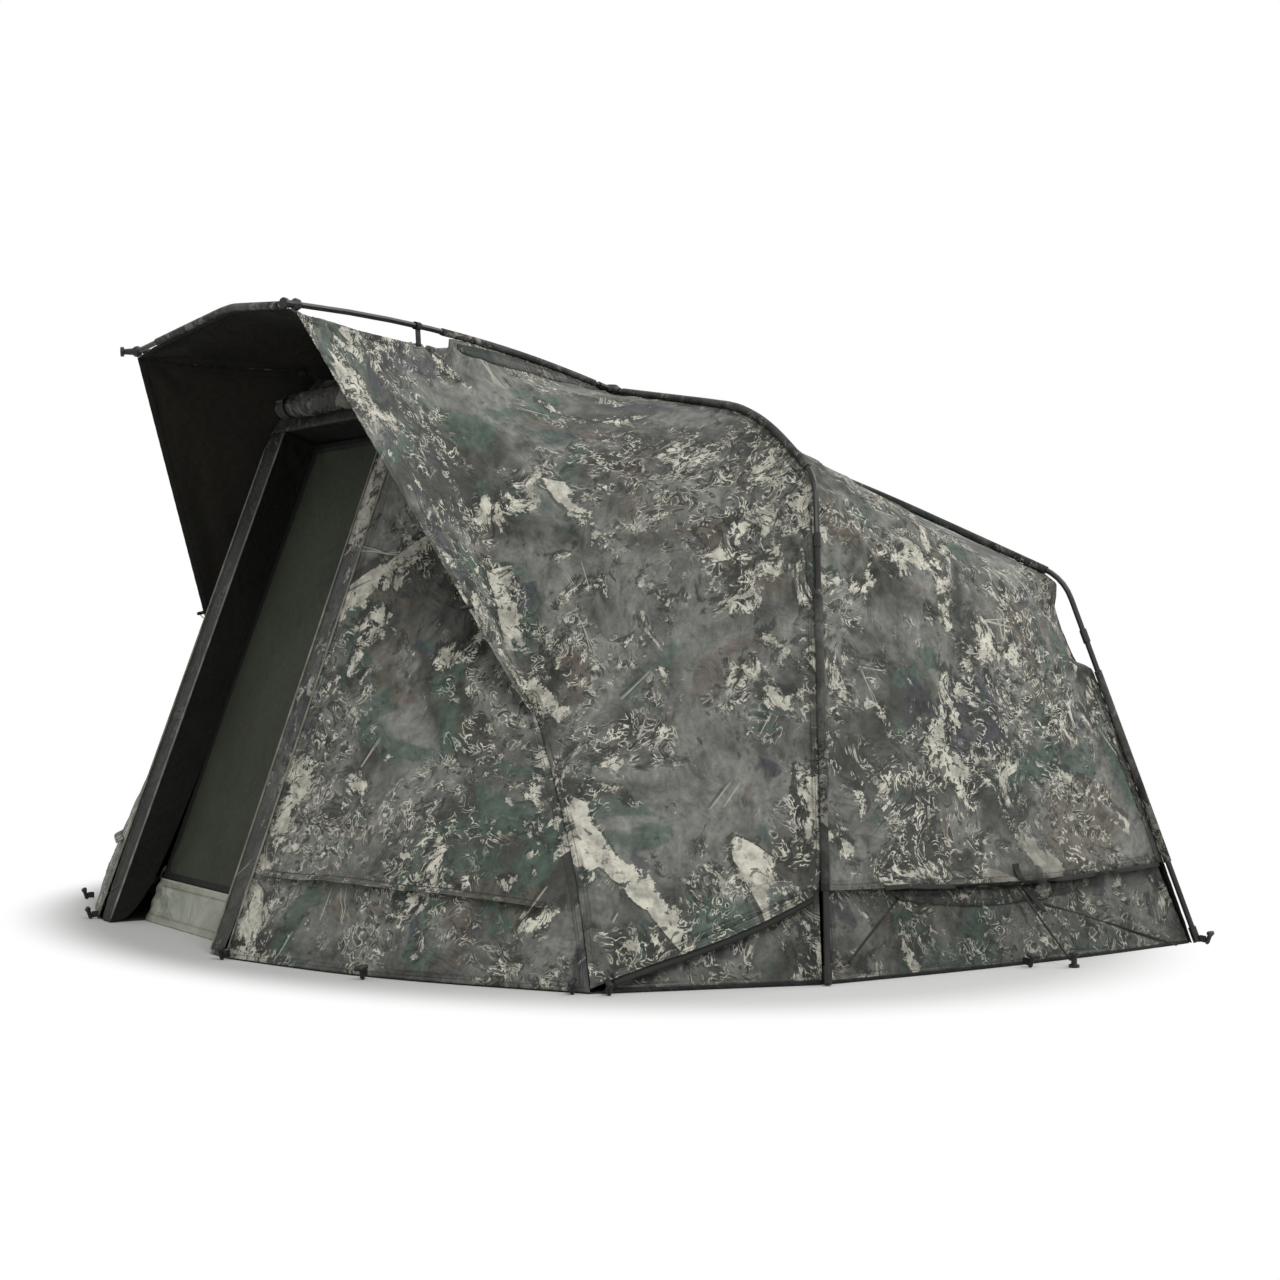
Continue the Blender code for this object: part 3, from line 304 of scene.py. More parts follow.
def shards(f, spot, scale, size, low, rag):
    """Broad patches with a clean side or two and ragged ends."""
    ray, draws, lean = scattered(f, spot, scale)
    picked = f.node("SeparateColor", None, {0: draws}, 1)
    first = across_ray(f, ray, lean, (0.3, -0.2, 0.1))
    second = across_ray(f, ray, lean, (-0.4, 0.5, -0.3))
    one_side = first.rising(-size * 1.2, size * 0.4)
    edge = (first + second * 0.25).away().at_least(second.away() * 0.62) + rag * one_side
    return edge.rising(size, size * 0.9) * picked.rising(low, low + 0.01)


def camo(name, turn=(0, 0, 0), shift=(0, 0, 0), light=1.0, tape=None):
    """Printed cloth: torn pale litter, curled flecks and stalks over blurred greys, greens and browns. light
    scales the whole colour; where it is set low for pieces in shade, it is painted shade.
    """
    f = Finish(name, roughness=0.76, specular=0.35)
    spot = f.place(turn, shift)
    sway = f.vector("SUBTRACT", f.cloud(spot, 4.0, 2.0, output="Color"), (0.5, 0.5, 0.5))
    swayed = f.moved(spot, f.stretched(sway, (0.14, 0.14, 0.14)))

    soft = f.cloud(swayed, 3.4, 3.0, 0.6, 0.8)
    colour = f.mix(soft.rising(0.36, 0.64), shade(62, 63, 58), shade(121, 122, 116))
    green = f.cloud(f.moved(swayed, (7.3, 1.1, 4.2)), 3.7, 3.0, 0.55, 0.9).rising(0.555, 0.61)
    colour = f.mix(green * 0.75, colour, shade(70, 87, 77))
    purple = f.cloud(f.moved(swayed, (2.7, 9.4, 0.6)), 4.6, 3.0, 0.55, 0.8).rising(0.615, 0.655)
    colour = f.mix(purple * 0.70, colour, shade(66, 66, 73))
    brown = f.cloud(f.moved(swayed, (5.2, 3.8, 8.8)), 4.6, 3.0, 0.5, 0.8).rising(0.60, 0.65)
    colour = f.mix(brown * 0.60, colour, shade(96, 88, 78))

    brushed = f.cloud(f.stretched(swayed, (4.0, 4.0, 1.1)), 8.0, 6.0, 0.68, 0.4) - 0.5
    mottle = f.cloud(f.moved(spot, (0.7, 3.1, 5.9)), 26.0, 5.0, 0.7, 1.2) - 0.5
    colour = f.tint(colour, 1.0 + brushed * 1.9 + mottle * 1.5)

    cluster = f.cloud(f.moved(spot, (3.3, 6.1, 2.0)), 4.4, 3.0, 0.6, 0.5) - 0.5
    curls = f.cloud(swayed, 25.0, 2.5, 0.5, 2.2)
    bitten = (curls - 0.43).away().rising(0.012, 0.026)
    slack = f.stretched(swayed, (1.4, 1.4, 1.0))
    torn = f.cloud(slack, 10.0, 9.0, 0.76, 0.6) + cluster * 0.75
    beside = f.cloud(f.moved(slack, (0.020, 0.014, -0.014)), 10.0, 9.0, 0.76, 0.6) + cluster * 0.75
    colour = f.mix(beside.rising(0.535, 0.590) * 0.78, colour, shade(42, 43, 39))

    rag = (f.cloud(f.moved(spot, (1.1, 0.4, 2.9)), 22.0, 7.0, 0.75) - 0.5) * 0.20
    frayed = f.moved(spot, f.stretched(sway, (0.05, 0.05, 0.05)))
    shard_dark = shards(f, f.moved(frayed, (0.009, 0.007, -0.011)), 4.2, 0.027, 0.66, rag)
    colour = f.mix(shard_dark * 0.65, colour, shade(46, 47, 43))

    tone = f.cloud(f.moved(spot, (6.0, 2.0, 1.0)), 24.0, 5.0, 0.65).rising(0.34, 0.66)
    pale = f.mix(tone, shade(156, 154, 142), shade(216, 213, 198))
    colour = f.mix(torn.rising(0.592, 0.612) * bitten, colour, pale)
    colour = f.mix(shards(f, frayed, 4.2, 0.023, 0.66, rag), colour, pale)

    broken = f.cloud(f.moved(spot, (4.4, 1.9, 6.3)), 30.0, 2.0).rising(0.46, 0.52)
    litter = f.cloud(f.moved(spot, (8.1, 2.2, 5.0)), 4.0, 3.0, 0.6).rising(0.47, 0.55)
    hollow = (curls - 0.37).away().rising(0.060, 0.030) * litter
    colour = f.mix(hollow * 0.75, colour, shade(42, 44, 39))
    fleck = (curls - 0.50).away().rising(0.034, 0.022) * broken * litter
    colour = f.mix(fleck, colour, pale)

    thin = stalks(
        f, f.moved(spot, (0.5, 0.2, 0.9)), 5.0, 0.090, 0.0024, 0.60, ((0, 0, 0), (0.06, 0.05, -0.04))
    )
    fan = stalks(
        f, f.moved(spot, (9.1, 4.2, 0.3)), 2.9, 0.110, 0.0028, 0.50,
        ((0, 0, 0), (0.12, 0, 0.1), (0, 0.2, -0.14)),
    )
    under = stalks(f, f.moved(spot, (0.504, 0.203, 0.895)), 5.0, 0.090, 0.0050, 0.60, ((0, 0, 0),))
    colour = f.mix(under * 0.6, colour, shade(44, 45, 41))
    colour = f.mix(thin.at_least(fan) * 0.85, colour, shade(182, 179, 164))

    step, row, rub, shadow = seam_marks(f)
    uneven = f.cloud(spot, 7.0, 2.0).rising(0.35, 0.70)
    # light darkens the whole print where it is set low for a piece in shade: painted shade. shadow is a
    # painted shadow in the crease behind the hem band, made uneven.
    colour = f.tint(colour, light * (1.0 - shadow * uneven * 0.55 - step * 0.10 + rub * 0.16))
    colour = f.mix(row * 0.8, colour, shade(36, 38, 34))
    # tape: a dark band from the ground up to that height, standing for the hem's binding and for painted
    # contact shadow along the ground, with a pale uneven line just above it
    if tape:
        height = f.height()
        colour = f.mix(height.rising(tape, tape - 0.002), colour, shade(26, 27, 25))
        line = (height - tape - 0.003).away().rising(0.0022, 0.0008) * uneven
        colour = f.mix(line * 0.6, colour, shade(118, 116, 105))
    dust = f.cloud(spot, 1.7, 3.0).rising(0.4, 0.75)
    f.set(base_color=colour, roughness=0.68 + dust * 0.16)
    normal = f.bump(creases(f, spot), 0.014, 0.7)
    normal = f.bump(weave(f, spot) + row * 1.2, 0.0004, 0.5, normal)
    f.set(normal=f.bump(step, 0.0014, 1.0, normal))
    return f.material


def plain_cloth(name, dark, bright, roughness=0.8, scale=4.0, depth=0.55, specular=0.3, tape=None):
    """Plain dyed cloth with faint shade changes, crumples and weave, a painted shadow in its hem's crease,
    and a black tape round its edge.
    """
    f = Finish(name, roughness=roughness, specular=specular)
    spot = f.place()
    tone = f.cloud(spot, scale, 4.0, 0.6, 0.4).rising(0.3, 0.7)
    colour = f.mix(tone, dark, bright)
    step, row, rub, shadow = seam_marks(f)
    # painted shade along the hem's crease, and a lighter rub at the edge
    colour = f.tint(colour, 1.0 - shadow * 0.3 + rub * 0.12)
    if tape:
        inward = f.attribute("seam_distance")
        teeth = (f.attribute("seam_run") * 330.0).fraction().rising(0.25, 0.45)
        colour = f.mix(inward.rising(tape, tape - 0.002), colour, shade(17, 18, 16))
        colour = f.mix(inward.rising(0.006, 0.004) * teeth * 0.5, colour, shade(60, 60, 56))
    worn = f.cloud(spot, 60.0, 3.0).rising(0.3, 0.8)
    f.set(base_color=colour, roughness=roughness - 0.06 + worn * 0.12)
    normal = f.bump(creases(f, spot), 0.009, depth)
    normal = f.bump(weave(f, spot, 700.0) + row * 1.2, 0.0005, 0.5, normal)
    f.set(normal=f.bump(step, 0.0012, 1.0, normal))
    return f.material


def webbing(name, dark, bright, ribs=520.0):
    """Woven tape with fine ribs across it."""
    f = Finish(name, roughness=0.75, specular=0.35)
    spot = f.place()
    thread = f.cloud(f.stretched(spot, (1, 1, 2)), ribs, 2.0)
    worn = f.cloud(spot, 28.0, 4.0).rising(0.35, 0.75)
    f.set(base_color=f.tint(f.mix(worn, dark, bright), 0.75 + thread * 0.5), roughness=0.68 + worn * 0.14)
    f.set(normal=f.bump(thread + f.cloud(spot, 90.0, 3.0), 0.0006, 0.6))
    return f.material


def hard_finish(name, dark, bright, roughness, metallic=0.0):
    """Paint, moulded plastic or metal, with a fine grain, dust and small scuffs."""
    f = Finish(name, roughness=roughness, metallic=metallic, specular=0.4)
    spot = f.place()
    tone = f.cloud(spot, 14.0, 5.0, 0.65).rising(0.35, 0.75)
    scuff = f.cloud(f.stretched(spot, (1, 1, 5)), 45.0, 6.0, 0.8).rising(0.66, 0.74)
    colour = f.mix(tone, dark, bright)
    colour = f.mix(scuff * 0.35, colour, [min(1, c * 3.2) for c in bright[:3]] + [1])
    f.set(base_color=colour, roughness=roughness - 0.08 + tone * 0.14 + scuff * 0.1)
    f.set(normal=f.bump(f.cloud(spot, 260.0, 3.0), 0.0002, 0.7))
    return f.material


# Cloth

def cad_skins(node):
    """The open skins of a CAD cloth, without the faces round its rim."""
    work = welded(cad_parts[node].data)
    rims = [
        face for face in work.faces
        if any(abs(edge.calc_length() - FABRIC) < RIM_TOLERANCE for edge in face.edges)
    ]
    bmesh.ops.delete(work, geom=rims, context="FACES_ONLY")
    left = set(work.faces)
    skins = []
    while left:
        stack = [left.pop()]
        skin = []
        while stack:
            face = stack.pop()
            skin.append(face)
            for edge in face.edges:
                for other in edge.link_faces:
                    if other in left:
                        left.remove(other)
                        stack.append(other)
        skins.append(skin)
    return work, skins


def outer_skin(node):
    """The outer face of a CAD cloth, as an open sheet of quads."""
    work, skins = cad_skins(node)
    areas = [sum(face.calc_area() for face in skin) for skin in skins]
    if max(areas) > 1.1 * min(areas):
        outward = areas
    else:
        outward = [
            sum(f.calc_area() * f.normal.dot(f.calc_center_median() - MIDDLE) for f in skin) for skin in skins
        ]
    best = set(skins[outward.index(max(outward))])
    spare = [face for face in work.faces if face not in best]
    bmesh.ops.delete(work, geom=spare, context="FACES")
    loose = [vertex for vertex in work.verts if not vertex.link_faces]
    bmesh.ops.delete(work, geom=loose, context="VERTS")
    bmesh.ops.join_triangles(
        work, faces=work.faces[:], angle_face_threshold=math.radians(40),
        angle_shape_threshold=math.radians(70),
    )
    return work


VALLEY_WELD = 0.005
FOLD_ANGLE = math.radians(35)


def smooth_sheet(name, nodes, levels):
    """The outer skins of one or two CAD cloths, sewn into one sheet and smoothed, with sharp folds kept."""
    work = bmesh.new()
    for node in nodes:
        skin = outer_skin(node)
        mesh = bpy.data.meshes.new(name)
        skin.to_mesh(mesh)
        skin.free()
        work.from_mesh(mesh)
        bpy.data.meshes.remove(mesh)
    if len(nodes) > 1:
        edge = [vertex for vertex in work.verts if vertex.is_boundary]
        bmesh.ops.remove_doubles(work, verts=edge, dist=VALLEY_WELD)
    else:
        crease = work.edges.layers.float.new("crease_edge")
        for edge in work.edges:
            if len(edge.link_faces) == 2 and edge.calc_face_angle(0) > FOLD_ANGLE:
                edge[crease] = 1.0
    mesh = bpy.data.meshes.new(name)
    work.to_mesh(mesh)
    work.free()
    piece = link(bpy.data.objects.new(name, mesh))
    smooth = piece.modifiers.new("smooth", "SUBSURF")
    smooth.levels = smooth.render_levels = levels
    smooth.boundary_smooth = "PRESERVE_CORNERS"
    apply_modifiers(piece)
    return piece


def rim_loops(mesh):
    """The sheet's open edges, each as vertex numbers in order round it."""
    work = opened(mesh)
    follow = {}
    for edge in work.edges:
        if edge.is_boundary:
            a, b = edge.verts
            follow.setdefault(a.index, []).append(b.index)
            follow.setdefault(b.index, []).append(a.index)
    loops = []
    left = set(follow)
    while left:
        start = min(left)
        loop = [start]
        left.remove(start)
        ahead = [k for k in follow[start] if k in left]
        while ahead:
            loop.append(ahead[0])
            left.remove(ahead[0])
            ahead = [k for k in follow[loop[-1]] if k in left]
        loops.append(loop)
    work.free()
    return loops


CORNER_ANGLE = math.radians(38)
CORNER_APART = 0.06


class Rim:
    """The edge of a sheet, asked how far a point lies from it and where along it."""

    def __init__(self, mesh):
        self.pieces = []
        self.corners = []
        loops = rim_loops(mesh)
        self.tree = KDTree(max(1, sum(len(loop) for loop in loops)))
        total = 0
        for loop in loops:
            points = [mesh.vertices[k].co.copy() for k in loop]
            size = len(points)
            for k, point in enumerate(points):
                ahead = points[(k + 1) % size]
                self.tree.insert(point, len(self.pieces))
                self.pieces.append((point, ahead, total))
                total += (ahead - point).length
                coming = points[k] - points[k - 3]
                going = points[(k + 3) % size] - points[k]
                if coming.length and going.length and coming.angle(going) > CORNER_ANGLE:
                    if not any((point - corner).length < CORNER_APART for corner in self.corners):
                        self.corners.append(point)
        self.tree.balance()

    def near(self, point):
        spot, index, gap = self.tree.find(point)
        best = (gap, self.pieces[index][2])
        for k in (index, index - 1):
            start, end, run = self.pieces[k]
            length = (end - start).length
            if 0 < length < 0.1:
                share = min(1, max(0, (point - start).dot(end - start) / length ** 2))
                away = (start.lerp(end, share) - point).length
                if away < best[0]:
                    best = (away, run + share * length)
        return best


def side_axes(normal):
    first = normal.cross(Vector((0, 0, 1)))
    if first.length < 0.1:
        first = normal.cross(Vector((1, 0, 0)))
    first.normalize()
    return first, normal.cross(first)


def rough(points, scale, offset):
    """Smooth noise at each point, about -1 to 1."""
    return np.array([noise.noise(Vector(point) * scale + offset) for point in points])


def fan_of_folds(points, wander, normal, place, reach, folds, depth, seed):
    """Folds that spread from one place, as from a corner that is pulled."""
    u_axis, v_axis = side_axes(normal)
    ray = points - np.array(place)
    far = np.linalg.norm(ray, axis=1) / reach
    turn = np.arctan2(ray @ np.array(v_axis), ray @ np.array(u_axis))
    fold = 1 - 2 * np.abs(np.sin(turn * folds / 2 + wander + seed))
    return depth * fold * np.minimum(1, far * 5) * np.exp(-(far * 1.5) ** 2)


def span_of_folds(points, wander, normal, start, end, half_width, folds, depth):
    """Folds between two places, as along a line of pull."""
    line = np.array(end - start)
    length = np.linalg.norm(line)
    share = (points - np.array(start)) @ line / length ** 2
    sideways = np.cross(line / length, np.array(normal))
    across = (points - np.array(start)) @ sideways / half_width
    taper = np.sin(math.pi * np.clip(share, 0, 1))
    fold = np.cos(math.pi * across * folds + wander)
    return depth * fold * taper * np.exp(-across * across)


def note_seams(mesh, away, run):
    """Writes down how far each point lies from the cloth's edge, and where along it."""
    for label, values in (("seam_distance", away), ("seam_run", run)):
        layer = mesh.attributes.new(label, "FLOAT", "POINT")
        layer.data.foreach_set("value", np.array(values, dtype=np.float32))


CORNER_REACH = 0.34
CORNER_FOLDS = 9
EDGE_FLAT = 0.045
EDGE_STILL = 0.02
PUCKER_SPACING = 0.042
PUCKER_REACH = 0.030


def cloth_piece(name, nodes, finish, levels, sign=1, body="shell", wave=0.0035, pucker=0.0014,
                corner=0.0050, fans=(), spans=(), seed=0.0, slot="camo_cloth", second=None,
                edges=(), sags=(), lifts=()):
    """A sheet of real cloth in the place of CAD ones: smooth, then creased by what pulls on it.

    fans are (pixel, reach, folds, depth) and spans (pixel, pixel, half width, folds, depth), with the
    pixels read on the photograph and mirrored for the left side; lifts are (pixel, pixel, reach, depth).
    second gives faces another finish. edges and sags are the values that set_edge and sag are given.
    """
    piece = smooth_sheet(name, nodes, levels)
    fine = piece.data
    for line, gaps, edge_sign in edges:
        set_edge(fine, line, gaps, edge_sign)
    for pole, start, end in sags:
        sag(fine, pole, start, end)
    rim = Rim(fine)
    size = len(fine.vertices)
    points = np.empty(size * 3)
    fine.vertices.foreach_get("co", points)
    points = points.reshape(-1, 3)
    normals = np.array([vertex.normal for vertex in fine.vertices])
    places = [Vector(point) for point in points]
    edge = np.array([rim.near(point) for point in places])
    away, run = edge[:, 0], edge[:, 1]
    offset = Vector((seed, seed * 1.7, -seed))
    slow = rough(points, 4.0, offset)
    inner = 1 - np.exp(-(away / EDGE_FLAT) ** 2)
    inside = np.minimum(1, away / EDGE_STILL)
    heights = wave * (rough(points, 3.3, offset) + 0.5 * rough(points, 8.0, -offset)) * inner
    tree = BVHTree.FromPolygons(places, [tuple(face.vertices) for face in fine.polygons])
    for place in rim.corners:
        normal = Vector(normals[tree_vertex(places, place)])
        heights += inside * fan_of_folds(
            points, 0.9 * slow, normal, place, CORNER_REACH, CORNER_FOLDS, corner, seed
        )
    for pixel, reach, folds, depth in fans:
        place, normal = on_tree(tree, pixel, sign)
        heights += inside * fan_of_folds(points, 0.9 * slow, normal, place, reach, folds, depth, seed)
    for first, last, half_width, folds, depth in spans:
        start, normal = on_tree(tree, first, sign)
        end, _ = on_tree(tree, last, sign)
        heights += inside * span_of_folds(points, 1.2 * slow, normal, start, end, half_width, folds, depth)
    for first, last, reach, depth in lifts:
        line = [on_tree(tree, first, sign)[0], on_tree(tree, last, sign)[0]]
        far = np.array([place_on(line, place)[0] for place in places])
        heights += depth * np.exp(-(far / reach) ** 2)
    gather = 0.5 + 0.5 * np.array([noise.noise(Vector((place * 3.1, seed, 0))) for place in run])
    shifts = np.array([noise.noise(Vector((place * 7, seed, 1))) for place in run])
    ripple = np.sin(run * 2 * math.pi / PUCKER_SPACING + 3 * shifts)
    heights += pucker * gather * ripple * np.exp(-away / PUCKER_REACH)
    fine.vertices.foreach_set("co", (points + normals * heights[:, None]).ravel())
    note_seams(fine, away, run)
    fine.materials.clear()
    for material in (finish, lining_cloth, second[1] if second else finish, lining_cloth):
        fine.materials.append(material)
    for face in fine.polygons:
        face.material_index = 2 if second and second[0](face) else 0
    close_sheet(piece, CLOTH_THICKNESS)
    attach(piece, body)
    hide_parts(*nodes)
    return piece


def place_on(line, point):
    """A line's nearest point: how far away, how far along the line, and where."""
    best = None
    run = 0
    for start, end in zip(line, line[1:]):
        length = (end - start).length
        share = min(1, max(0, (point - start).dot(end - start) / length ** 2))
        spot = start.lerp(end, share)
        gap = (point - spot).length
        if best is None or gap < best[0]:
            best = (gap, run + share * length, spot)
        run += length
    return best


def pixel_run(line, pixel, sign):
    """How far along a line the point lies that is nearest to a pixel's line of sight."""
    start, aim = picture_ray(CAMERA, pixel, sign)
    best = None
    run = 0
    for first, last in zip(line, line[1:]):
        length = (last - first).length
        for k in range(24):
            ray = first.lerp(last, k / 24) - start
            off = (ray - aim * ray.dot(aim)).length
            if best is None or off < best[0]:
                best = (off, run + length * k / 24)
        run += length
    return best[1]


EDGE_REACH = 0.090
EDGE_EASE = 0.130
EDGE_CLEAR = 0.002
EDGE_ENDS = 0.006


def set_edge(mesh, line, gaps, sign):
    """Draws a cloth's edge to or from a pole: gaps are (pixel, distance from the pole's middle line)."""
    runs = [pixel_run(line, pixel, sign) for pixel, _ in gaps]
    order = np.argsort(runs)
    runs = np.array(runs)[order]
    wanted = np.array([gap for _, gap in gaps])[order]
    rims = {k for loop in rim_loops(mesh) for k in loop}
    border = []
    near = []
    for vertex in mesh.vertices:
        gap, run, spot = place_on(line, vertex.co)
        if gap < EDGE_REACH + EDGE_EASE and runs[0] < run < runs[-1]:
            near.append((vertex, gap, run, spot))
            if vertex.index in rims and gap < EDGE_REACH:
                border.append((run, gap))
    if len(border) < 3:
        return
    border.sort()
    border_runs, border_gaps = zip(*border)
    for vertex, gap, run, spot in near:
        edge = float(np.interp(run, border_runs, border_gaps))
        push = float(np.interp(run, runs, wanted)) - edge
        push *= min(1, max(0, 1 - (gap - edge) / EDGE_EASE))
        ends = min(run - runs[0], runs[-1] - run)
        vertex.co += (vertex.co - spot).normalized() * max(push, EDGE_CLEAR - gap) * min(1, ends / EDGE_ENDS)


SAG_DEPTH = 0.034
SAG_REACH = 0.110
SAG_START = 0.050
SAG_EASE = 0.05


def sag(mesh, pole, start, end):
    """Lowers a roof along the line between two points, but not its edge at the pole."""
    for vertex in mesh.vertices:
        inward = place_on(pole, vertex.co)[0]
        beside = min(1, max(0, (inward - SAG_START) / SAG_EASE))
        gap = place_on([start, end], vertex.co)[0]
        vertex.co.z -= SAG_DEPTH * beside * math.exp(-(gap / SAG_REACH) ** 2)


def tree_vertex(places, place):
    return min(range(len(places)), key=lambda k: (places[k] - place).length_squared)


NEAREST_SIGHT = 4.0
SIGHT_STEP = 0.03
SIGHT_STEPS = 150


def on_tree(tree, pixel, sign):
    """The point of a piece behind a pixel of the photograph, or the nearest one beside it."""
    start, aim = picture_ray(CAMERA, pixel, sign)
    spot, normal, index, gap = tree.ray_cast(start, aim)
    if spot is None:
        sights = [start + aim * (NEAREST_SIGHT + SIGHT_STEP * k) for k in range(SIGHT_STEPS)]
        beside = [tree.find_nearest(sight) for sight in sights]
        spot, normal, index, gap = min(beside, key=lambda found: found[3])
    return spot, normal


def close_sheet(piece, thickness, offset=-1):
    """Gives a sheet its wall, with the lining on its inner side, and applies it."""
    wall = piece.modifiers.new("wall", "SOLIDIFY")
    wall.thickness = thickness
    wall.offset = offset
    wall.material_offset = 1
    apply_modifiers(piece)
    piece.data.shade_smooth()


def piece_tree(piece):
    work = opened(piece.data)
    tree = BVHTree.FromBMesh(work)
    work.free()
    return tree


def spread_points(points, step):
    """A route with a point about every step, on a smooth curve through the given ones."""
    route = []
    size = len(points)
    for k in range(size - 1):
        before = points[max(0, k - 1)]
        start, end = points[k], points[k + 1]
        after = points[min(size - 1, k + 2)]
        count = max(1, round((end - start).length / step))
        for j in range(count):
            t = j / count
            curve = 2 * start + (end - before) * t
            curve += (2 * before - 5 * start + 4 * end - after) * t * t
            curve += (3 * start - before - 3 * end + after) * t * t * t
            route.append(curve / 2)
    return route + [points[-1]]


def seen_normal(spot, normal, sign):
    """The normal, turned to the side of the cloth that the camera sees."""
    start = Matrix.Diagonal((sign, 1, 1)) @ CAMERA.location
    return -normal if normal.dot(start - spot) < 0 else normal


def on_piece(piece, pixels, sign, step):
    """A route over a piece, from pixels of the photograph: its points and the cloth's directions."""
    tree = piece_tree(piece)
    corners = [on_tree(tree, pixel, sign)[0] for pixel in pixels]
    route = []
    for point in spread_points(corners, step):
        spot, normal, index, gap = tree.find_nearest(point)
        route.append((spot, seen_normal(spot, normal, sign)))
    return route


def grid_piece(name, points, across, finish):
    """A sheet through rows of points, so many across, with one finish on both its sides."""
    mesh = bpy.data.meshes.new(name)
    corners = [k + j for k in range(0, len(points) - across, across) for j in range(across - 1)]
    mesh.from_pydata(points, [], [(k, k + 1, k + across + 1, k + across) for k in corners])
    mesh.update()
    mesh.materials.append(finish)
    mesh.materials.append(finish)
    return link(bpy.data.objects.new(name, mesh))


RIBBON_SHARES = (0.0, 0.25, 0.5, 0.75, 1.0)
RIBBON_HEM = 0.006


def ribbon(name, first_edge, last_edge, finish, thickness=0.0012):
    """A strip of cloth or webbing between two edges."""
    points = []
    away = []
    runs = []
    run = 0
    for k, (start, end) in enumerate(zip(first_edge, last_edge)):
        if k:
            run += (start - first_edge[k - 1]).length
        for share in RIBBON_SHARES:
            points.append(start.lerp(end, share))
            away.append((end - start).length * min(share, 1 - share) + RIBBON_HEM)
            runs.append(run)
    piece = grid_piece(name, points, len(RIBBON_SHARES), finish)
    note_seams(piece.data, away, runs)
    close_sheet(piece, thickness, 0)
    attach(piece, "shell")
    return piece


def strap(name, points, half, thickness=0.0012):
    """A strap of dark tape through the points, with half of it to each side."""
    return ribbon(name, [p - half for p in points], [p + half for p in points], dark_tape, thickness)


def ring(centre, first, second, radius, steps):
    """Points round a ring in the plane of two directions, back to the first."""
    turns = [2 * math.pi * k / steps for k in range(steps + 1)]
    return [centre + (first * math.cos(turn) + second * math.sin(turn)) * radius for turn in turns]


DOWN = Vector((0, 0, -1))
BAND_STEP = 0.015


def laid_strip(name, route, width, finish, lift, stand, down):
    """A strip sewn to a piece along its first edge, its last edge standing a little off."""
    first = [spot + normal * lift for spot, normal in route]
    last = []
    for spot, normal in route:
        along_cloth = (down - normal * down.dot(normal)).normalized()
        last.append(spot + along_cloth * width + normal * (lift + stand))
    return ribbon(name, first, last, finish)


def band(name, piece, upper, lower, sign, lift):
    """A strip of darker camo laid on a piece between two rows of pixels: painted shade."""
    first = on_piece(piece, upper, sign, BAND_STEP)
    last = on_piece(piece, lower, sign, BAND_STEP)
    steps = len(first) - 1
    last = [last[round(k * (len(last) - 1) / steps)] for k in range(steps + 1)]
    upper_edge, lower_edge = ([spot + normal * lift for spot, normal in row] for row in (first, last))
    return ribbon(name, upper_edge, lower_edge, painted_shade_camo)


def cord_curve(name, points, radius, roundness):
    """A round cord through the points, as a curve with closed ends."""
    curve = bpy.data.curves.new(name, "CURVE")
    curve.dimensions = "3D"
    line = curve.splines.new("POLY")
    line.points.add(len(points) - 1)
    for place, point in zip(line.points, points):
        place.co = (*point, 1)
    curve.bevel_depth = radius
    curve.bevel_resolution = roundness
    curve.use_fill_caps = True
    return link(bpy.data.objects.new(name, curve))


def tube(name, points, radius, finish):
    """Piping or a short loop of cord through the points, as a mesh."""
    drawn = cord_curve(name + "_line", points, radius, 3)
    mesh = evaluated_mesh(drawn)
    bpy.data.objects.remove(drawn)
    work = welded(mesh)
    bmesh.ops.recalc_face_normals(work, faces=work.faces)
    work.to_mesh(mesh)
    work.free()
    mesh.name = name
    mesh.materials.clear()
    mesh.materials.append(finish)
    mesh.shade_smooth()
    piece = link(bpy.data.objects.new(name, mesh))
    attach(piece, "shell")
    return piece


def node_line(node, gap=0.004):
    """The middle line of a CAD tube: the mean of each of its rings, from end to end."""
    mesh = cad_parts[node].data
    points = np.array([vertex.co for vertex in mesh.vertices])
    centre = points.mean(axis=0)
    axis = np.linalg.svd(points - centre, full_matrices=False)[2][0]
    places = (points - centre) @ axis
    order = np.argsort(places)
    rings = [[order[0]]]
    for last, here in zip(order, order[1:]):
        if places[here] - places[last] > gap:
            rings.append([])
        rings[-1].append(here)
    return [Vector(points[ring].mean(axis=0)) for ring in rings]


ROLL_STEPS = 22
ROLL_SPACING = 0.008
ROLL_THICKNESS = 0.0009
TIE_SHARE = 0.80


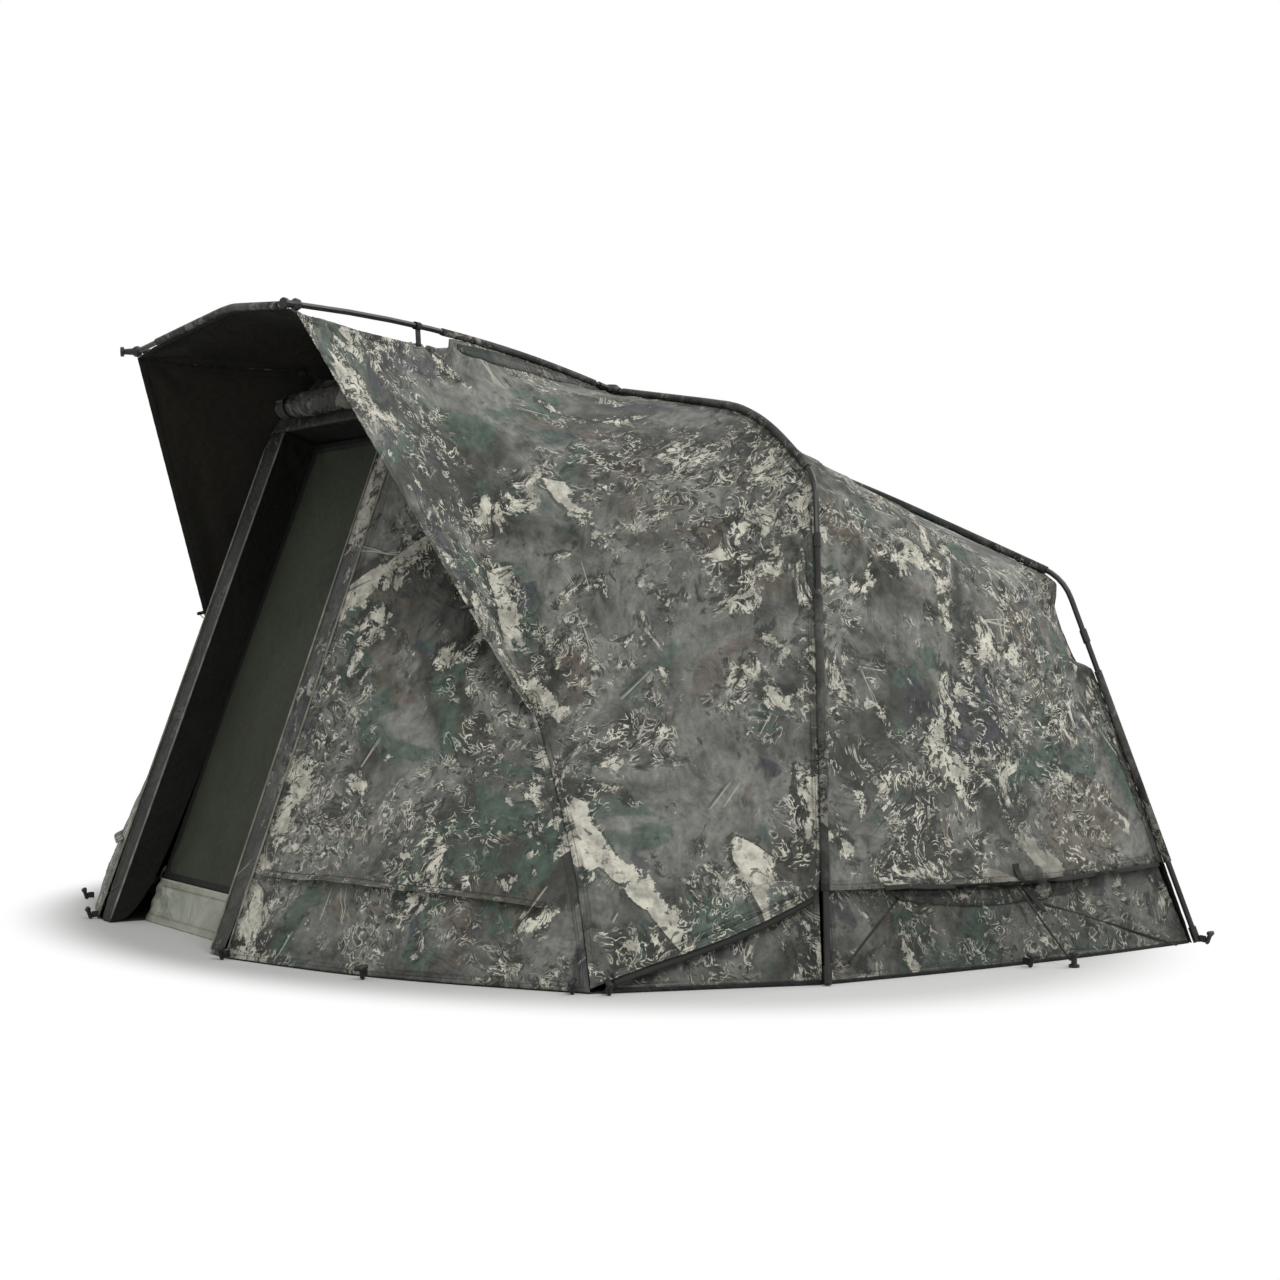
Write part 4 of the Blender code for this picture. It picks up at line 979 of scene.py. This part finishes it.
def rolled_cover(name, node, line, radius, core, turns, gathers, ties=()):
    """A cover rolled up on itself: one sheet wound round its middle line, gathered at the ties."""
    route = spread_points(line, ROLL_SPACING)
    length = sum((b - a).length for a, b in zip(route, route[1:]))
    count = int(ROLL_STEPS * turns)
    points = []
    done = 0
    for k, spot in enumerate(route):
        ahead = route[min(k + 1, len(route) - 1)]
        behind = route[max(k - 1, 0)]
        axis = (ahead - behind).normalized()
        if k:
            done += (spot - route[k - 1]).length
        share = done / length
        side = axis.cross(Vector((0, 0, 1))).normalized()
        up = side.cross(axis)
        end_fall = min(1, min(share, 1 - share) / 0.05)
        full = 0.80 + 0.20 * math.sin(end_fall * math.pi / 2)
        for tie in ties:
            full *= 1 - (1 - TIE_SHARE) * math.exp(-((share - tie) * length / 0.020) ** 2)
        for j in range(count + 1):
            turn = 2 * math.pi * j / ROLL_STEPS
            layer = core + (radius - core) * j / count
            swell = noise.noise(Vector((done * 22, math.cos(turn) * 1.2, math.sin(turn) * 1.2)))
            drift = noise.noise(Vector((done * 9, turn * 0.3, 4)))
            pleat = math.sin(done * 2 * math.pi / gathers + 2.2 * drift)
            reach = layer * full * (0.90 + 0.06 * swell + 0.055 * pleat)
            points.append(spot + side * math.cos(turn) * reach + up * math.sin(turn) * reach)
    piece = grid_piece(name, points, count + 1, roll_camo)
    close_sheet(piece, ROLL_THICKNESS, 0)
    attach(piece, "shell")
    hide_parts(node)


# Hard pieces

TURNED_BEVEL = 0.0006


def turned(name, profile, sides):
    """A turned piece along +Z: a disc drawn up and resized step by step through (height, radius)."""
    bpy.ops.object.select_all(action="DESELECT")
    low, first = profile[0]
    bpy.ops.mesh.primitive_circle_add(vertices=sides, radius=first, fill_type="NGON", location=(0, 0, 0))
    piece = bpy.context.active_object
    piece.name = name
    bpy.ops.object.mode_set(mode="EDIT")
    bpy.ops.transform.translate(value=(0, 0, low))
    for (height, radius), (next_height, next_radius) in zip(profile, profile[1:]):
        bpy.ops.mesh.extrude_region_move(TRANSFORM_OT_translate={"value": (0, 0, next_height - height)})
        factor = next_radius / radius
        bpy.ops.transform.resize(value=(factor, factor, 1), center_override=(0, 0, next_height))
    bpy.ops.mesh.select_all(action="SELECT")
    bpy.ops.mesh.normals_make_consistent(inside=False)
    bpy.ops.object.mode_set(mode="OBJECT")
    rounded = piece.modifiers.new("rounded", "BEVEL")
    rounded.width = TURNED_BEVEL
    rounded.segments = 2
    bpy.ops.object.modifier_apply(modifier="rounded")
    bpy.ops.object.shade_smooth_by_angle(angle=math.radians(40))
    piece.data.materials.append(black_plastic)
    piece.data.name = name
    return piece


def joined(name, pieces):
    bpy.ops.object.select_all(action="DESELECT")
    for piece in pieces:
        piece.select_set(True)
    bpy.context.view_layer.objects.active = pieces[0]
    bpy.ops.object.join()
    pieces[0].name = name
    return pieces[0]


def placed_copy(model, name, place):
    """A copy of a model with its own mesh, which holds its place."""
    mesh = model.data.copy()
    mesh.transform(place)
    mesh.name = name
    piece = link(bpy.data.objects.new(name, mesh))
    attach(piece, "shell")


def facing(spot, axis, turn=0.0):
    """The place of a model whose +Z is turned to an axis at a spot."""
    way = Vector(axis).normalized().to_track_quat("Z", "Y").to_matrix().to_4x4()
    return Matrix.Translation(spot) @ way @ Matrix.Rotation(turn, 4, "Z")


# Making: the camera and the guys come first

CAMERA = make_camera()

GUY_TOP = Vector((1.5177, 0.3837, 0.1895))
GUY_FOOT = Vector((1.6593, 0.4340, 0.0160))
GUY_RADIUS = 0.0025
GUY_STEPS = 6

guy_cord = webbing("guy_cord", shade(28, 31, 26), shade(46, 50, 42), 900.0)


def make_guys():
    """A taut cord from the middle of each vent's edge to the neck of its peg."""
    for side, sign in SIDES.items():
        top, foot = (Matrix.Diagonal((sign, 1, 1)) @ end for end in (GUY_TOP, GUY_FOOT))
        route = [top.lerp(foot, k / GUY_STEPS) for k in range(GUY_STEPS + 1)]
        guy = cord_curve(f"guy_{side}", route, GUY_RADIUS, 4)
        guy.data.materials.append(guy_cord)
        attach(guy, "shell")
        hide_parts(f"vent_guy_{side}")


make_guys()

lining_cloth = plain_cloth("lining_cloth", shade(25, 24, 19), shade(34, 32, 26), depth=0.5, specular=0.2)
door_cloth = plain_cloth("door_cloth", shade(44, 48, 36), shade(55, 60, 46), depth=0.35, tape=0.030)
# Near-black cloth laid on the jambs' returns and the header's underside as painted shade
painted_shade_cloth = plain_cloth("painted_shade_cloth", shade(19, 20, 17), shade(27, 28, 24), depth=0.4, specular=0.2)
flap_cloth = plain_cloth("flap_cloth", shade(152, 156, 140), shade(184, 187, 172), 0.6, 6.0, 1.0)
sheet_cloth = plain_cloth("sheet_cloth", shade(27, 29, 27), shade(38, 40, 37), 0.5)
dark_tape = webbing("dark_tape", shade(26, 28, 24), shade(42, 44, 38))
olive_tape = webbing("olive_tape", shade(52, 54, 42), shade(74, 75, 62))
piping = webbing("piping", shade(110, 110, 100), shade(150, 149, 137), 300.0)
# The rolled door cover's print is set dark (0.34) as painted shade under the hood
roll_camo = camo("roll_camo", (40, 25, 70), (2.4, 0.6, 1.9), 0.34)
sleeve_camo = camo("sleeve_camo", (20, 60, 10), (3, 1, 2), 0.42)
# Darker camo for strips laid as painted shade beside the ribs' sleeves and under the vent's edge
painted_shade_camo = camo("painted_shade_camo", (30, 15, 60), (5.2, 2.6, 0.8), 0.44)
pole_paint = hard_finish("pole_paint", shade(32, 32, 31), shade(46, 46, 44), 0.42, 0.25)
black_plastic = hard_finish("black_plastic", shade(22, 22, 22), shade(34, 34, 33), 0.5)
zip_metal = hard_finish("zip_metal", shade(60, 60, 58), shade(92, 92, 88), 0.38, 0.85)

# Each cloth piece by name, and the strips, piping and straps laid on each
cloths = {}
trims = {}

# Folds, read on the photograph: where the cloth is pulled, and between which places
CANOPY_FANS = (
    ((434, 348), 0.20, 13, 0.0045),
    ((640, 402), 0.34, 9, 0.0050),
)
CANOPY_SPANS = (
    ((452, 375), (668, 600), 0.090, 2, 0.0060),
    ((500, 420), (800, 520), 0.080, 2, 0.0055),
    ((352, 372), (536, 700), 0.060, 1, 0.0050),
    ((560, 715), (806, 560), 0.110, 2, 0.0045),
    ((600, 965), (806, 790), 0.090, 2, 0.0045),
    ((545, 720), (600, 970), 0.050, 1, 0.0060),
)
REAR_LIFTS = (((905, 888), (1095, 874), 0.060, 0.016),)
REAR_FANS = (
    ((836, 500), 0.60, 17, 0.0060),
    ((1036, 880), 0.20, 15, 0.0070),
    ((900, 884), 0.16, 11, 0.0045),
)
REAR_SPANS = (
    ((842, 520), (1050, 604), 0.050, 1, 0.0060),
    ((848, 860), (1000, 640), 0.100, 2, 0.0050),
    ((1045, 874), (1150, 790), 0.050, 3, 0.0060),
    ((1070, 620), (1155, 850), 0.040, 1, 0.0050),
)
REAR_SKIRT_SPANS = (
    ((850, 930), (935, 893), 0.030, 1, 0.0060),
    ((1046, 892), (1185, 950), 0.045, 3, 0.0060),
    ((930, 895), (1000, 960), 0.030, 2, 0.0050),
)
WINDOW_SPANS = (
    ((262, 868), (430, 500), 0.080, 2, 0.0040),
    ((300, 866), (520, 780), 0.080, 2, 0.0035),
    ((250, 950), (420, 900), 0.050, 2, 0.0040),
)


def add_cloth(name, finish, levels, nodes=None, **wanted):
    """Makes a cloth in the place of the CAD pieces named, or of the one that has its own name."""
    cloths[name] = cloth_piece(name + "_cloth", nodes or [name], finish, levels, **wanted)
    trims[name] = []


# Pixels along a pole, each with the distance of a cloth's edge from the pole's middle line there
ROOF_NOTCH_GAPS = (
    ((419, 331), 0.034), ((422, 332), 0.052), ((429, 334), 0.066), ((458, 342), 0.066), ((470, 345), 0.040),
    ((476, 347), 0.012),
)
NOTCH_GAPS = (
    ((419, 331), 0.034), ((422, 332), 0.052), ((429, 334), 0.066), ((439, 337), 0.066), ((445, 338), 0.048),
    ((447, 339), 0.020),
)
SIDE_ELBOW_GAPS = (((640, 390), 0.010), ((800, 452), 0.010), ((822, 500), 0.012))
REAR_ELBOW_GAPS = (
    ((960, 540), 0.010), ((1058, 582), 0.012), ((1072, 596), 0.050), ((1082, 618), 0.054),
    ((1095, 652), 0.050), ((1099, 664), 0.014), ((1112, 690), 0.010),
)
BAR_GAPS = (((150, 352), 0.009), ((220, 305), 0.009), ((292, 300), 0.009))


def rib_line(side):
    """A front rib's middle line, from its tip to the hub."""
    line = node_line(f"front_rib_{side}")
    if line[0].y > line[-1].y:
        line.reverse()
    return line


def notch_sags():
    """Where the hood's roof hangs lower between the two hand notches."""
    middle = Vector((0, -0.410, 1.590))
    return [(rib_line(side), Vector((0.300 * sign, -0.575, 1.560)), middle) for side, sign in SIDES.items()]


def side_line(side):
    """The upper side rib's middle line, from the hub outwards."""
    return sorted(node_line(f"side_rib_upper_{side}"), key=lambda point: abs(point.x))


def rear_line(side):
    """The rear rib's middle line, from the hub over its elbow to the ground."""
    points = node_line(f"rear_rib_upper_{side}") + node_line(f"rear_rib_lower_{side}")
    return sorted(points, key=lambda point: abs(point.x))


def make_canopy():
    notches = [(rib_line(side), ROOF_NOTCH_GAPS, sign) for side, sign in SIDES.items()]
    elbows = [(rear_line(side), REAR_ELBOW_GAPS, sign) for side, sign in SIDES.items()]
    add_cloth(
        "hood_roof", camo("hood_camo", (80, 10, 25), (0.4, 0.1, 0.7)), 3, seed=2.1,
        edges=[*notches, (node_line("front_bar"), BAR_GAPS, 1)], sags=notch_sags(),
    )
    add_cloth(
        "rear_roof_panel", camo("rear_roof_camo", (75, -20, 40), (1.9, 2.3, 0.2)), 3, seed=1.3, edges=elbows
    )
    add_cloth(
        "rear_wall_panel", camo("rear_wall_camo", (0, 15, 0), (4.7, 1.3, 3.2), tape=0.012), 3, seed=4.4,
        edges=elbows,
    )
    for side, sign in SIDES.items():
        add_cloth(
            f"front_canopy_{side}",
            camo(f"canopy_camo_{side}", (5, 10, -15), (0.37, 0.2, 3.1 * sign), tape=0.011), 3,
            [f"front_side_panel_{side}", f"hood_wing_{side}"],
            sign=sign, seed=0.7 + 0.1 * sign, fans=CANOPY_FANS, spans=CANOPY_SPANS,
            edges=[(rib_line(side), NOTCH_GAPS, sign), (side_line(side), SIDE_ELBOW_GAPS, sign)],
        )
        add_cloth(
            f"rear_side_panel_{side}", camo(f"rear_camo_{side}", (25, -30, 5), (2.6, 1.4, sign)), 3,
            sign=sign, seed=3.2 + 0.2 * sign, fans=REAR_FANS, spans=REAR_SPANS, lifts=REAR_LIFTS,
            edges=[(side_line(side), SIDE_ELBOW_GAPS, sign), (rear_line(side), REAR_ELBOW_GAPS, sign)],
        )
        add_cloth(
            f"front_side_skirt_{side}",
            camo(f"front_skirt_camo_{side}", (0, 35, 50), (3, 0.7, 1.7 * sign), 0.80, 0.012), 2,
            sign=sign, seed=5.1,
        )
        # The rear skirt's print is darkened to 0.68 as painted shade below the vent's edge
        add_cloth(
            f"rear_side_skirt_{side}",
            camo(f"rear_skirt_camo_{side}", (5, 55, 0), (0.9, 5.1, 2 * sign), 0.68, 0.010), 3,
            sign=sign, seed=1.9, spans=REAR_SKIRT_SPANS,
        )
        add_cloth(
            f"window_panel_{side}",
            camo(f"window_camo_{side}", (0, -25, 10), (6.1, 0.4, 2.9 * sign), 1.04, 0.005), 3,
            sign=sign, seed=2.7, spans=WINDOW_SPANS,
        )
        # The jambs' print is darkened as painted shade from the hood: to 0.14 on the far (left) jamb and 0.78
        # on the near one; their returns take the near-black painted shade cloth
        add_cloth(
            f"door_jamb_{side}",
            camo(f"jamb_camo_{side}", (0, 70, 0), (1.5, 1.5, 4 * sign), 0.46 + 0.32 * sign), 5,
            sign=sign, seed=0.4, wave=0.0015, corner=0.0015, pucker=0.0008,
            second=(lambda face: abs(face.normal.x) > 0.75, painted_shade_cloth),
        )


def make_sleeves():
    plain = {"wave": 0.0006, "pucker": 0.0, "corner": 0.0, "slot": "sleeve_cloth"}
    for side, sign in SIDES.items():
        for part in ("front_rib", "side_upper", "side_lower", "rear_upper", "rear_lower"):
            add_cloth(f"{part}_sleeve_{side}", sleeve_camo, 1, sign=sign, seed=0.3, **plain)
    add_cloth("front_bar_sleeve", sleeve_camo, 1, seed=0.9, **plain)


def make_front():
    # The header's print is set very dark (0.24) and its underside takes the near-black cloth: painted shade
    # under the hood
    add_cloth(
        "door_header", camo("header_camo", (10, 0, 80), (2.2, 7.3, 1.1), 0.24), 3, seed=0.8, wave=0.002,
        corner=0.002, second=(lambda face: face.normal.z < -0.5, painted_shade_cloth), sags=notch_sags(),
    )
    add_cloth("door_panel", door_cloth, 6, body="door", slot="door_cloth", seed=6.1)
    add_cloth(
        "mud_flap", flap_cloth, 5, slot="mud_flap_cloth", seed=1.1, wave=0.004, pucker=0.003, corner=0.008
    )


DOOR_TOP = 1.365 / math.cos(LEAN)
DOOR_BOTTOM_HALF_WIDTH = 0.370
DOOR_TOP_HALF_WIDTH = 0.345
JAMB_WIDTH = 0.100
PIPING_RADIUS = 0.0026


def door_edge(up):
    """Half the doorway's width at a height up its slope."""
    return DOOR_BOTTOM_HALF_WIDTH + (DOOR_TOP_HALF_WIDTH - DOOR_BOTTOM_HALF_WIDTH) * up / DOOR_TOP


PIPING_STEPS = 30
PIPING_FOOT = 0.012


def make_jamb_piping():
    for side, sign in SIDES.items():
        for label, out, top in (("inner", 0.0, DOOR_TOP - 0.010), ("outer", JAMB_WIDTH, DOOR_TOP - 0.045)):
            points = []
            for k in range(PIPING_STEPS + 1):
                up = PIPING_FOOT + (top - PIPING_FOOT) * k / PIPING_STEPS
                points.append(on_door((door_edge(up) + out) * sign, up, -0.0030))
            line = tube(f"jamb_piping_{label}_{side}", points, PIPING_RADIUS, piping)
            trims[f"door_jamb_{side}"].append(line)


def make_rolls():
    line = node_line("door_cover_roll")
    ends = [line[0], line[-1]]
    rolled_cover("door_roll", "door_cover_roll", ends, 0.040, 0.012, 5.0, 0.030, ties=(0.10, 0.90))
    for side in SIDES:
        node = f"window_cover_roll_{side}"
        rolled_cover(f"window_roll_{side}", node, node_line(node), 0.016, 0.006, 3.0, 0.034)


SHEET_STEP = 0.11
SHEET_ROUNDS = 7
SHEET_WRINKLE = 0.0012
SHEET_THICKNESS = 0.0016


def make_groundsheet():
    """One heavy sheet on the ground, with the wrinkles of having been folded."""
    work = welded(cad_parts["groundsheet"].data)
    spare = [face for face in work.faces if face.normal.z < 0.9]
    bmesh.ops.delete(work, geom=spare, context="FACES")
    for _ in range(SHEET_ROUNDS):
        long = [edge for edge in work.edges if edge.calc_length() > SHEET_STEP]
        if long:
            bmesh.ops.subdivide_edges(work, edges=long, cuts=1)
            bmesh.ops.triangulate(work, faces=work.faces)
    for vertex in work.verts:
        if not vertex.is_boundary:
            wrinkle = SHEET_WRINKLE * noise.noise(vertex.co * 5)
            vertex.co.z += wrinkle + SHEET_WRINKLE * noise.noise(vertex.co * 14)
    mesh = bpy.data.meshes.new("groundsheet_cloth")
    work.to_mesh(mesh)
    work.free()
    mesh.materials.append(sheet_cloth)
    mesh.materials.append(sheet_cloth)
    piece = link(bpy.data.objects.new("groundsheet_cloth", mesh))
    close_sheet(piece, SHEET_THICKNESS)
    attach(piece, "shell")
    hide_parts("groundsheet")


# Strips and bands, by the pixels that they cover on the photograph
WINDOW_SEAM = ((265, 870), (300, 874), (345, 877), (395, 884), (440, 888), (500, 896), (546, 903))
SIDE_ZIP = ((612, 972), (740, 924), (812, 888))
VENT_EDGE = ((884, 886), (960, 884), (1035, 880), (1100, 874), (1158, 862))
# Strips of painted shade beside the front rib's sleeve and beside the rear rib's sleeve
FRONT_FLANGE_SHADE = (
    ((457, 344), (480, 349), (520, 358), (560, 371), (590, 382), (606, 389)),
    ((457, 349), (480, 359), (520, 371), (560, 382), (590, 389), (606, 393)),
)
REAR_FLANGE_SHADE = (
    ((1100, 668), (1120, 720), (1138, 775), (1152, 820), (1164, 862)),
    ((1086, 668), (1103, 720), (1125, 775), (1142, 820), (1157, 862)),
)
# A strip of painted shade on the rear skirt, under the vent's edge
VENT_SHADE = (
    ((886, 889), (960, 888), (1012, 886), (1060, 881), (1096, 877)),
    ((900, 901), (960, 906), (1012, 903), (1060, 895), (1096, 882)),
)
LONG = 0.020
SHORT = 0.010
BACK = Vector((0, 1, 0))

# A strip's cloth, route, step, width, finish (None for the cloth's own), lift, stand and way down;
# a band's cloth, two routes and lift
STRIPS = (
    ("window_flap_{}", "window_panel", WINDOW_SEAM, LONG, 0.018, None, 0.0016, 0.016, DOWN),
    ("window_seam_tape_{}", "window_panel", WINDOW_SEAM, LONG, 0.006, dark_tape, 0.0032, 0.0, DOWN),
    ("window_tab_{}", "window_panel", ((238, 922), (224, 933)), SHORT, 0.022, olive_tape, 0.0030, 0.0, DOWN),
    ("side_zip_cover_{}", "front_canopy", SIDE_ZIP, LONG, 0.020, None, 0.0036, 0.003, DOWN),
    ("side_zip_tape_{}", "front_canopy", SIDE_ZIP, LONG, 0.036, dark_tape, 0.0016, 0.0, DOWN),
    # painted shade beside the front rib's sleeve
    ("front_flange_{}", "front_canopy", FRONT_FLANGE_SHADE, 0.0018),
    ("vent_hem_tape_{}", "rear_side_panel", VENT_EDGE, LONG, 0.012, dark_tape, 0.0020, 0.0, DOWN),
    # painted shade beside the rear rib's sleeve
    ("rear_flange_{}", "rear_side_panel", REAR_FLANGE_SHADE, 0.0018),
    ("vent_tab_{}", "rear_side_panel", ((1011, 864), (1018, 885)), SHORT, 0.022, dark_tape, 0.004, 0.0, BACK),
    (
        "skirt_seam_{}_1", "rear_side_skirt", ((848, 962), (872, 930), (898, 897)),
        LONG, 0.007, dark_tape, 0.0015, 0.0, DOWN,
    ),
    (
        "skirt_seam_{}_2", "rear_side_skirt", ((1044, 903), (1085, 915), (1130, 929), (1176, 944)),
        LONG, 0.007, dark_tape, 0.0015, 0.0, DOWN,
    ),
    # painted shade under the vent's edge
    ("vent_mesh_{}", "rear_side_skirt", VENT_SHADE, 0.0040),
    (
        "vent_strap_{}", "rear_side_skirt", ((1019, 888), (1028, 899), (1039, 913)),
        SHORT, 0.018, dark_tape, 0.010, 0.0, BACK,
    ),
)


def make_strips():
    for side, sign in SIDES.items():
        for label, cloth, pixels, *wanted in STRIPS:
            name = label.format(side)
            piece = cloths[f"{cloth}_{side}"]
            if len(wanted) == 1:
                made = band(name, piece, *pixels, sign, *wanted)
            else:
                step, width, finish, lift, stand, down = wanted
                route = on_piece(piece, pixels, sign, step)
                made = laid_strip(name, route, width, finish or piece.data.materials[0], lift, stand, down)
            trims[f"{cloth}_{side}"].append(made)


# Pegs and loops round the hem, on the right-hand side: across and back from the door line
PEG_SPOTS = (
    (0.478, 0.004), (0.951, 0.150), (1.392, 0.440), (1.446, 0.500), (1.592, 1.560), (1.512, 2.214),
    (0.760, 2.376),
)
PEG_OUT = 0.020
PEG_SPIKE = ((0.0005, 0.0035), (0.006, 0.0058), (0.022, 0.0058), (0.029, 0.0085), (0.034, 0.0050))
PEG_BAR = ((-0.016, 0.0040), (-0.012, 0.0060), (0.012, 0.0060), (0.016, 0.0040))
LOOP_WIDTH = 0.017


def make_pegs():
    spike = turned("peg_spike", PEG_SPIKE, 12)
    bar = turned("peg_bar", PEG_BAR, 12)
    bar.data.transform(facing(Vector((0, 0, 0.030)), (1, 0, 0)))
    model = joined("peg_model", [spike, bar])
    for side, sign in SIDES.items():
        for k, (across, back) in enumerate(PEG_SPOTS):
            hem = at(across * sign, back, 0.0)
            out = Vector((hem.x, hem.y - 0.1, 0)).normalized()
            spot = hem + out * PEG_OUT
            lean = Vector((out.x * 0.35, out.y * 0.35, 1))
            placed_copy(model, f"hem_peg_{side}_{k + 1}", facing(spot, lean, 0.6 * k))
            edge_points = []
            for share, height in ((0.0, 0.013), (0.35, 0.014), (0.7, 0.013), (1.0, 0.012)):
                edge_points.append(hem + out * (PEG_OUT * share - 0.001) + Vector((0, 0, height)))
            strap(f"hem_loop_{side}_{k + 1}", edge_points, Vector((0, 0, LOOP_WIDTH / 2)), 0.0035)
    bpy.data.objects.remove(model)


STRAP_FROM_TIP = 0.447
STRAP_HALF_WIDTH = 0.010
RIB_LOOP_RADIUS = 0.0098


def along(line, distance):
    """The point at a distance along a line, and the way the line runs there."""
    for start, end in zip(line, line[1:]):
        length = (end - start).length
        if distance <= length:
            return start.lerp(end, distance / length), (end - start).normalized()
        distance -= length
    return line[-1], (line[-1] - line[-2]).normalized()


def make_rib_straps():
    """A loop of tape round each front rib, and a strap from it to the canopy below."""
    for side, sign in SIDES.items():
        line = rib_line(side)
        tree = piece_tree(cloths[f"front_canopy_{side}"])
        spot, way = along(line, STRAP_FROM_TIP)
        below, normal, index, gap = tree.find_nearest(spot)
        out = (spot - below).normalized()
        aside = way.cross(out).normalized()
        half = way * STRAP_HALF_WIDTH
        strap(f"rib_loop_{side}", ring(spot, out, aside, RIB_LOOP_RADIUS, 16), half)
        drop = [spot - out * 0.0095, spot.lerp(below, 0.6), below + out * 0.001, below - out * 0.012]
        drop = [point + aside * 0.002 for point in drop]
        trims[f"front_canopy_{side}"].append(strap(f"rib_strap_{side}", drop, half))


EDGE_TOGGLE = (468, 607)
TOGGLE_PROFILE = (
    (-0.017, 0.0030), (-0.015, 0.0052), (-0.004, 0.0056), (0.0, 0.0044), (0.004, 0.0056), (0.015, 0.0052),
    (0.017, 0.0030),
)


def make_edge_toggles():
    """A barrel toggle on a loop at the hood's free edge, for tying the window's cover."""
    model = turned("toggle_model", TOGGLE_PROFILE, 16)
    for side, sign in SIDES.items():
        spot, normal = on_tree(piece_tree(cloths[f"front_canopy_{side}"]), EDGE_TOGGLE, sign)
        normal = seen_normal(spot, normal, sign)
        seat = spot + normal * 0.0075
        placed_copy(model, f"edge_toggle_{side}", facing(seat, (0.25 * sign, 0.5, 0.1)))
        loop = [spot + normal * 0.001, seat + normal * 0.007, spot + normal * 0.001 + Vector((0, 0, -0.016))]
        tube(f"edge_toggle_loop_{side}", spread_points(loop, 0.003), 0.0014, guy_cord)
    bpy.data.objects.remove(model)


TIE_PLACE = 0.25
TIE_RADIUS = 0.0325


def make_roll_ties():
    """An elastic band round the rolled door cover at each toggle."""
    line = node_line("door_cover_roll")
    middle = line[0].lerp(line[-1], 0.5)
    for side, sign in SIDES.items():
        centre = Vector((TIE_PLACE * sign, middle.y, middle.z))
        turn = ring(centre, Vector((0, 1, 0)), Vector((0, 0, 1)), TIE_RADIUS, 32)
        strap(f"roll_tie_{side}", turn, Vector((STRAP_HALF_WIDTH, 0, 0)))


make_canopy()
make_sleeves()
make_front()
make_jamb_piping()
make_rolls()
make_groundsheet()
make_strips()
make_pegs()
make_rib_straps()
make_edge_toggles()
make_roll_ties()

for name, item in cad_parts.items():
    finish = pole_paint
    if name == "hub" or "knob" in name or "peg" in name or "toggle" in name:
        finish = black_plastic
    elif name.startswith("zip"):
        finish = zip_metal
    item.data.materials.clear()
    item.data.materials.append(finish)


# Ground and light

# The floor is grey within an ellipse round the tent and turns to a white glow for the camera beyond it:
# painted shade round the tent, over its real shadow
FLOOR_MIDDLE = (0.12, -0.06, 0)
FLOOR_SIZE = (1.66, 1.25)
FADE_START = 0.98
FADE_END = 1.20
WORLD_LIGHT = 0.52


def seen_directly(tree):
    """1 for what the camera or a reflection sees, 0 for light that falls on the object."""
    path = tree.nodes.new("ShaderNodeLightPath")
    either = tree.nodes.new("ShaderNodeMath")
    either.operation = "MAXIMUM"
    tree.links.new(path.outputs["Is Camera Ray"], either.inputs[0])
    tree.links.new(path.outputs["Is Glossy Ray"], either.inputs[1])
    return either.outputs[0]


def blend_shaders(tree, share, first, second, output):
    blend = tree.nodes.new("ShaderNodeMixShader")
    for k, socket in enumerate((share, first, second)):
        tree.links.new(socket, blend.inputs[k])
    tree.links.new(blend.outputs[0], tree.nodes[output].inputs["Surface"])


def make_studio():
    ground = Finish("pale_floor", roughness=0.9, specular=0.1)
    # grey near the tent: painted shade round it
    ground.set(base_color=shade(208, 208, 206))
    white = ground.tree.nodes.new("ShaderNodeEmission")
    white.inputs["Color"].default_value = (1, 1, 1, 1)
    spot = ground.vector("SUBTRACT", ground.node("TexCoord", output="Object"), FLOOR_MIDDLE)
    spot = ground.stretched(spot, (1 / FLOOR_SIZE[0], 1 / FLOOR_SIZE[1], 0))
    far = ground.vector("LENGTH", spot, output=1).rising(FADE_START, FADE_END)
    share = far * Value(ground, seen_directly(ground.tree))
    blend_shaders(ground.tree, share.socket, ground.shader.outputs[0], white.outputs[0], "Material Output")
    bpy.ops.object.select_all(action="DESELECT")
    bpy.ops.mesh.primitive_plane_add(size=60, location=(0, 0, 0))
    floor = bpy.context.active_object
    floor.name = "studio_floor"
    floor.data.materials.append(ground.material)
    world = bpy.data.worlds.new("studio")
    bpy.context.scene.world = world
    world.use_nodes = True
    light = world.node_tree.nodes["Background"]
    white = world.node_tree.nodes.new("ShaderNodeBackground")
    for background in (light, white):
        background.inputs["Color"].default_value = (1, 1, 1, 1)
    light.inputs["Strength"].default_value = WORLD_LIGHT
    seen = seen_directly(world.node_tree)
    blend_shaders(world.node_tree, seen, light.outputs[0], white.outputs[0], "World Output")
    for label, place, size, power in (
        ("key_lamp", (5.5, -1.4, 5.2), 3.0, 200),
        ("back_lamp", (1.5, 4.5, 5.0), 4.0, 150),
    ):
        light = bpy.data.lights.new(label, "AREA")
        light.energy = power
        light.size = size
        lamp = link(bpy.data.objects.new(label, light))
        lamp.location = place
        lamp.rotation_euler = (Vector((0, 0, 0.6)) - Vector(place)).to_track_quat("-Z", "Y").to_euler()
    bpy.context.scene.view_settings.view_transform = "Standard"


make_studio()
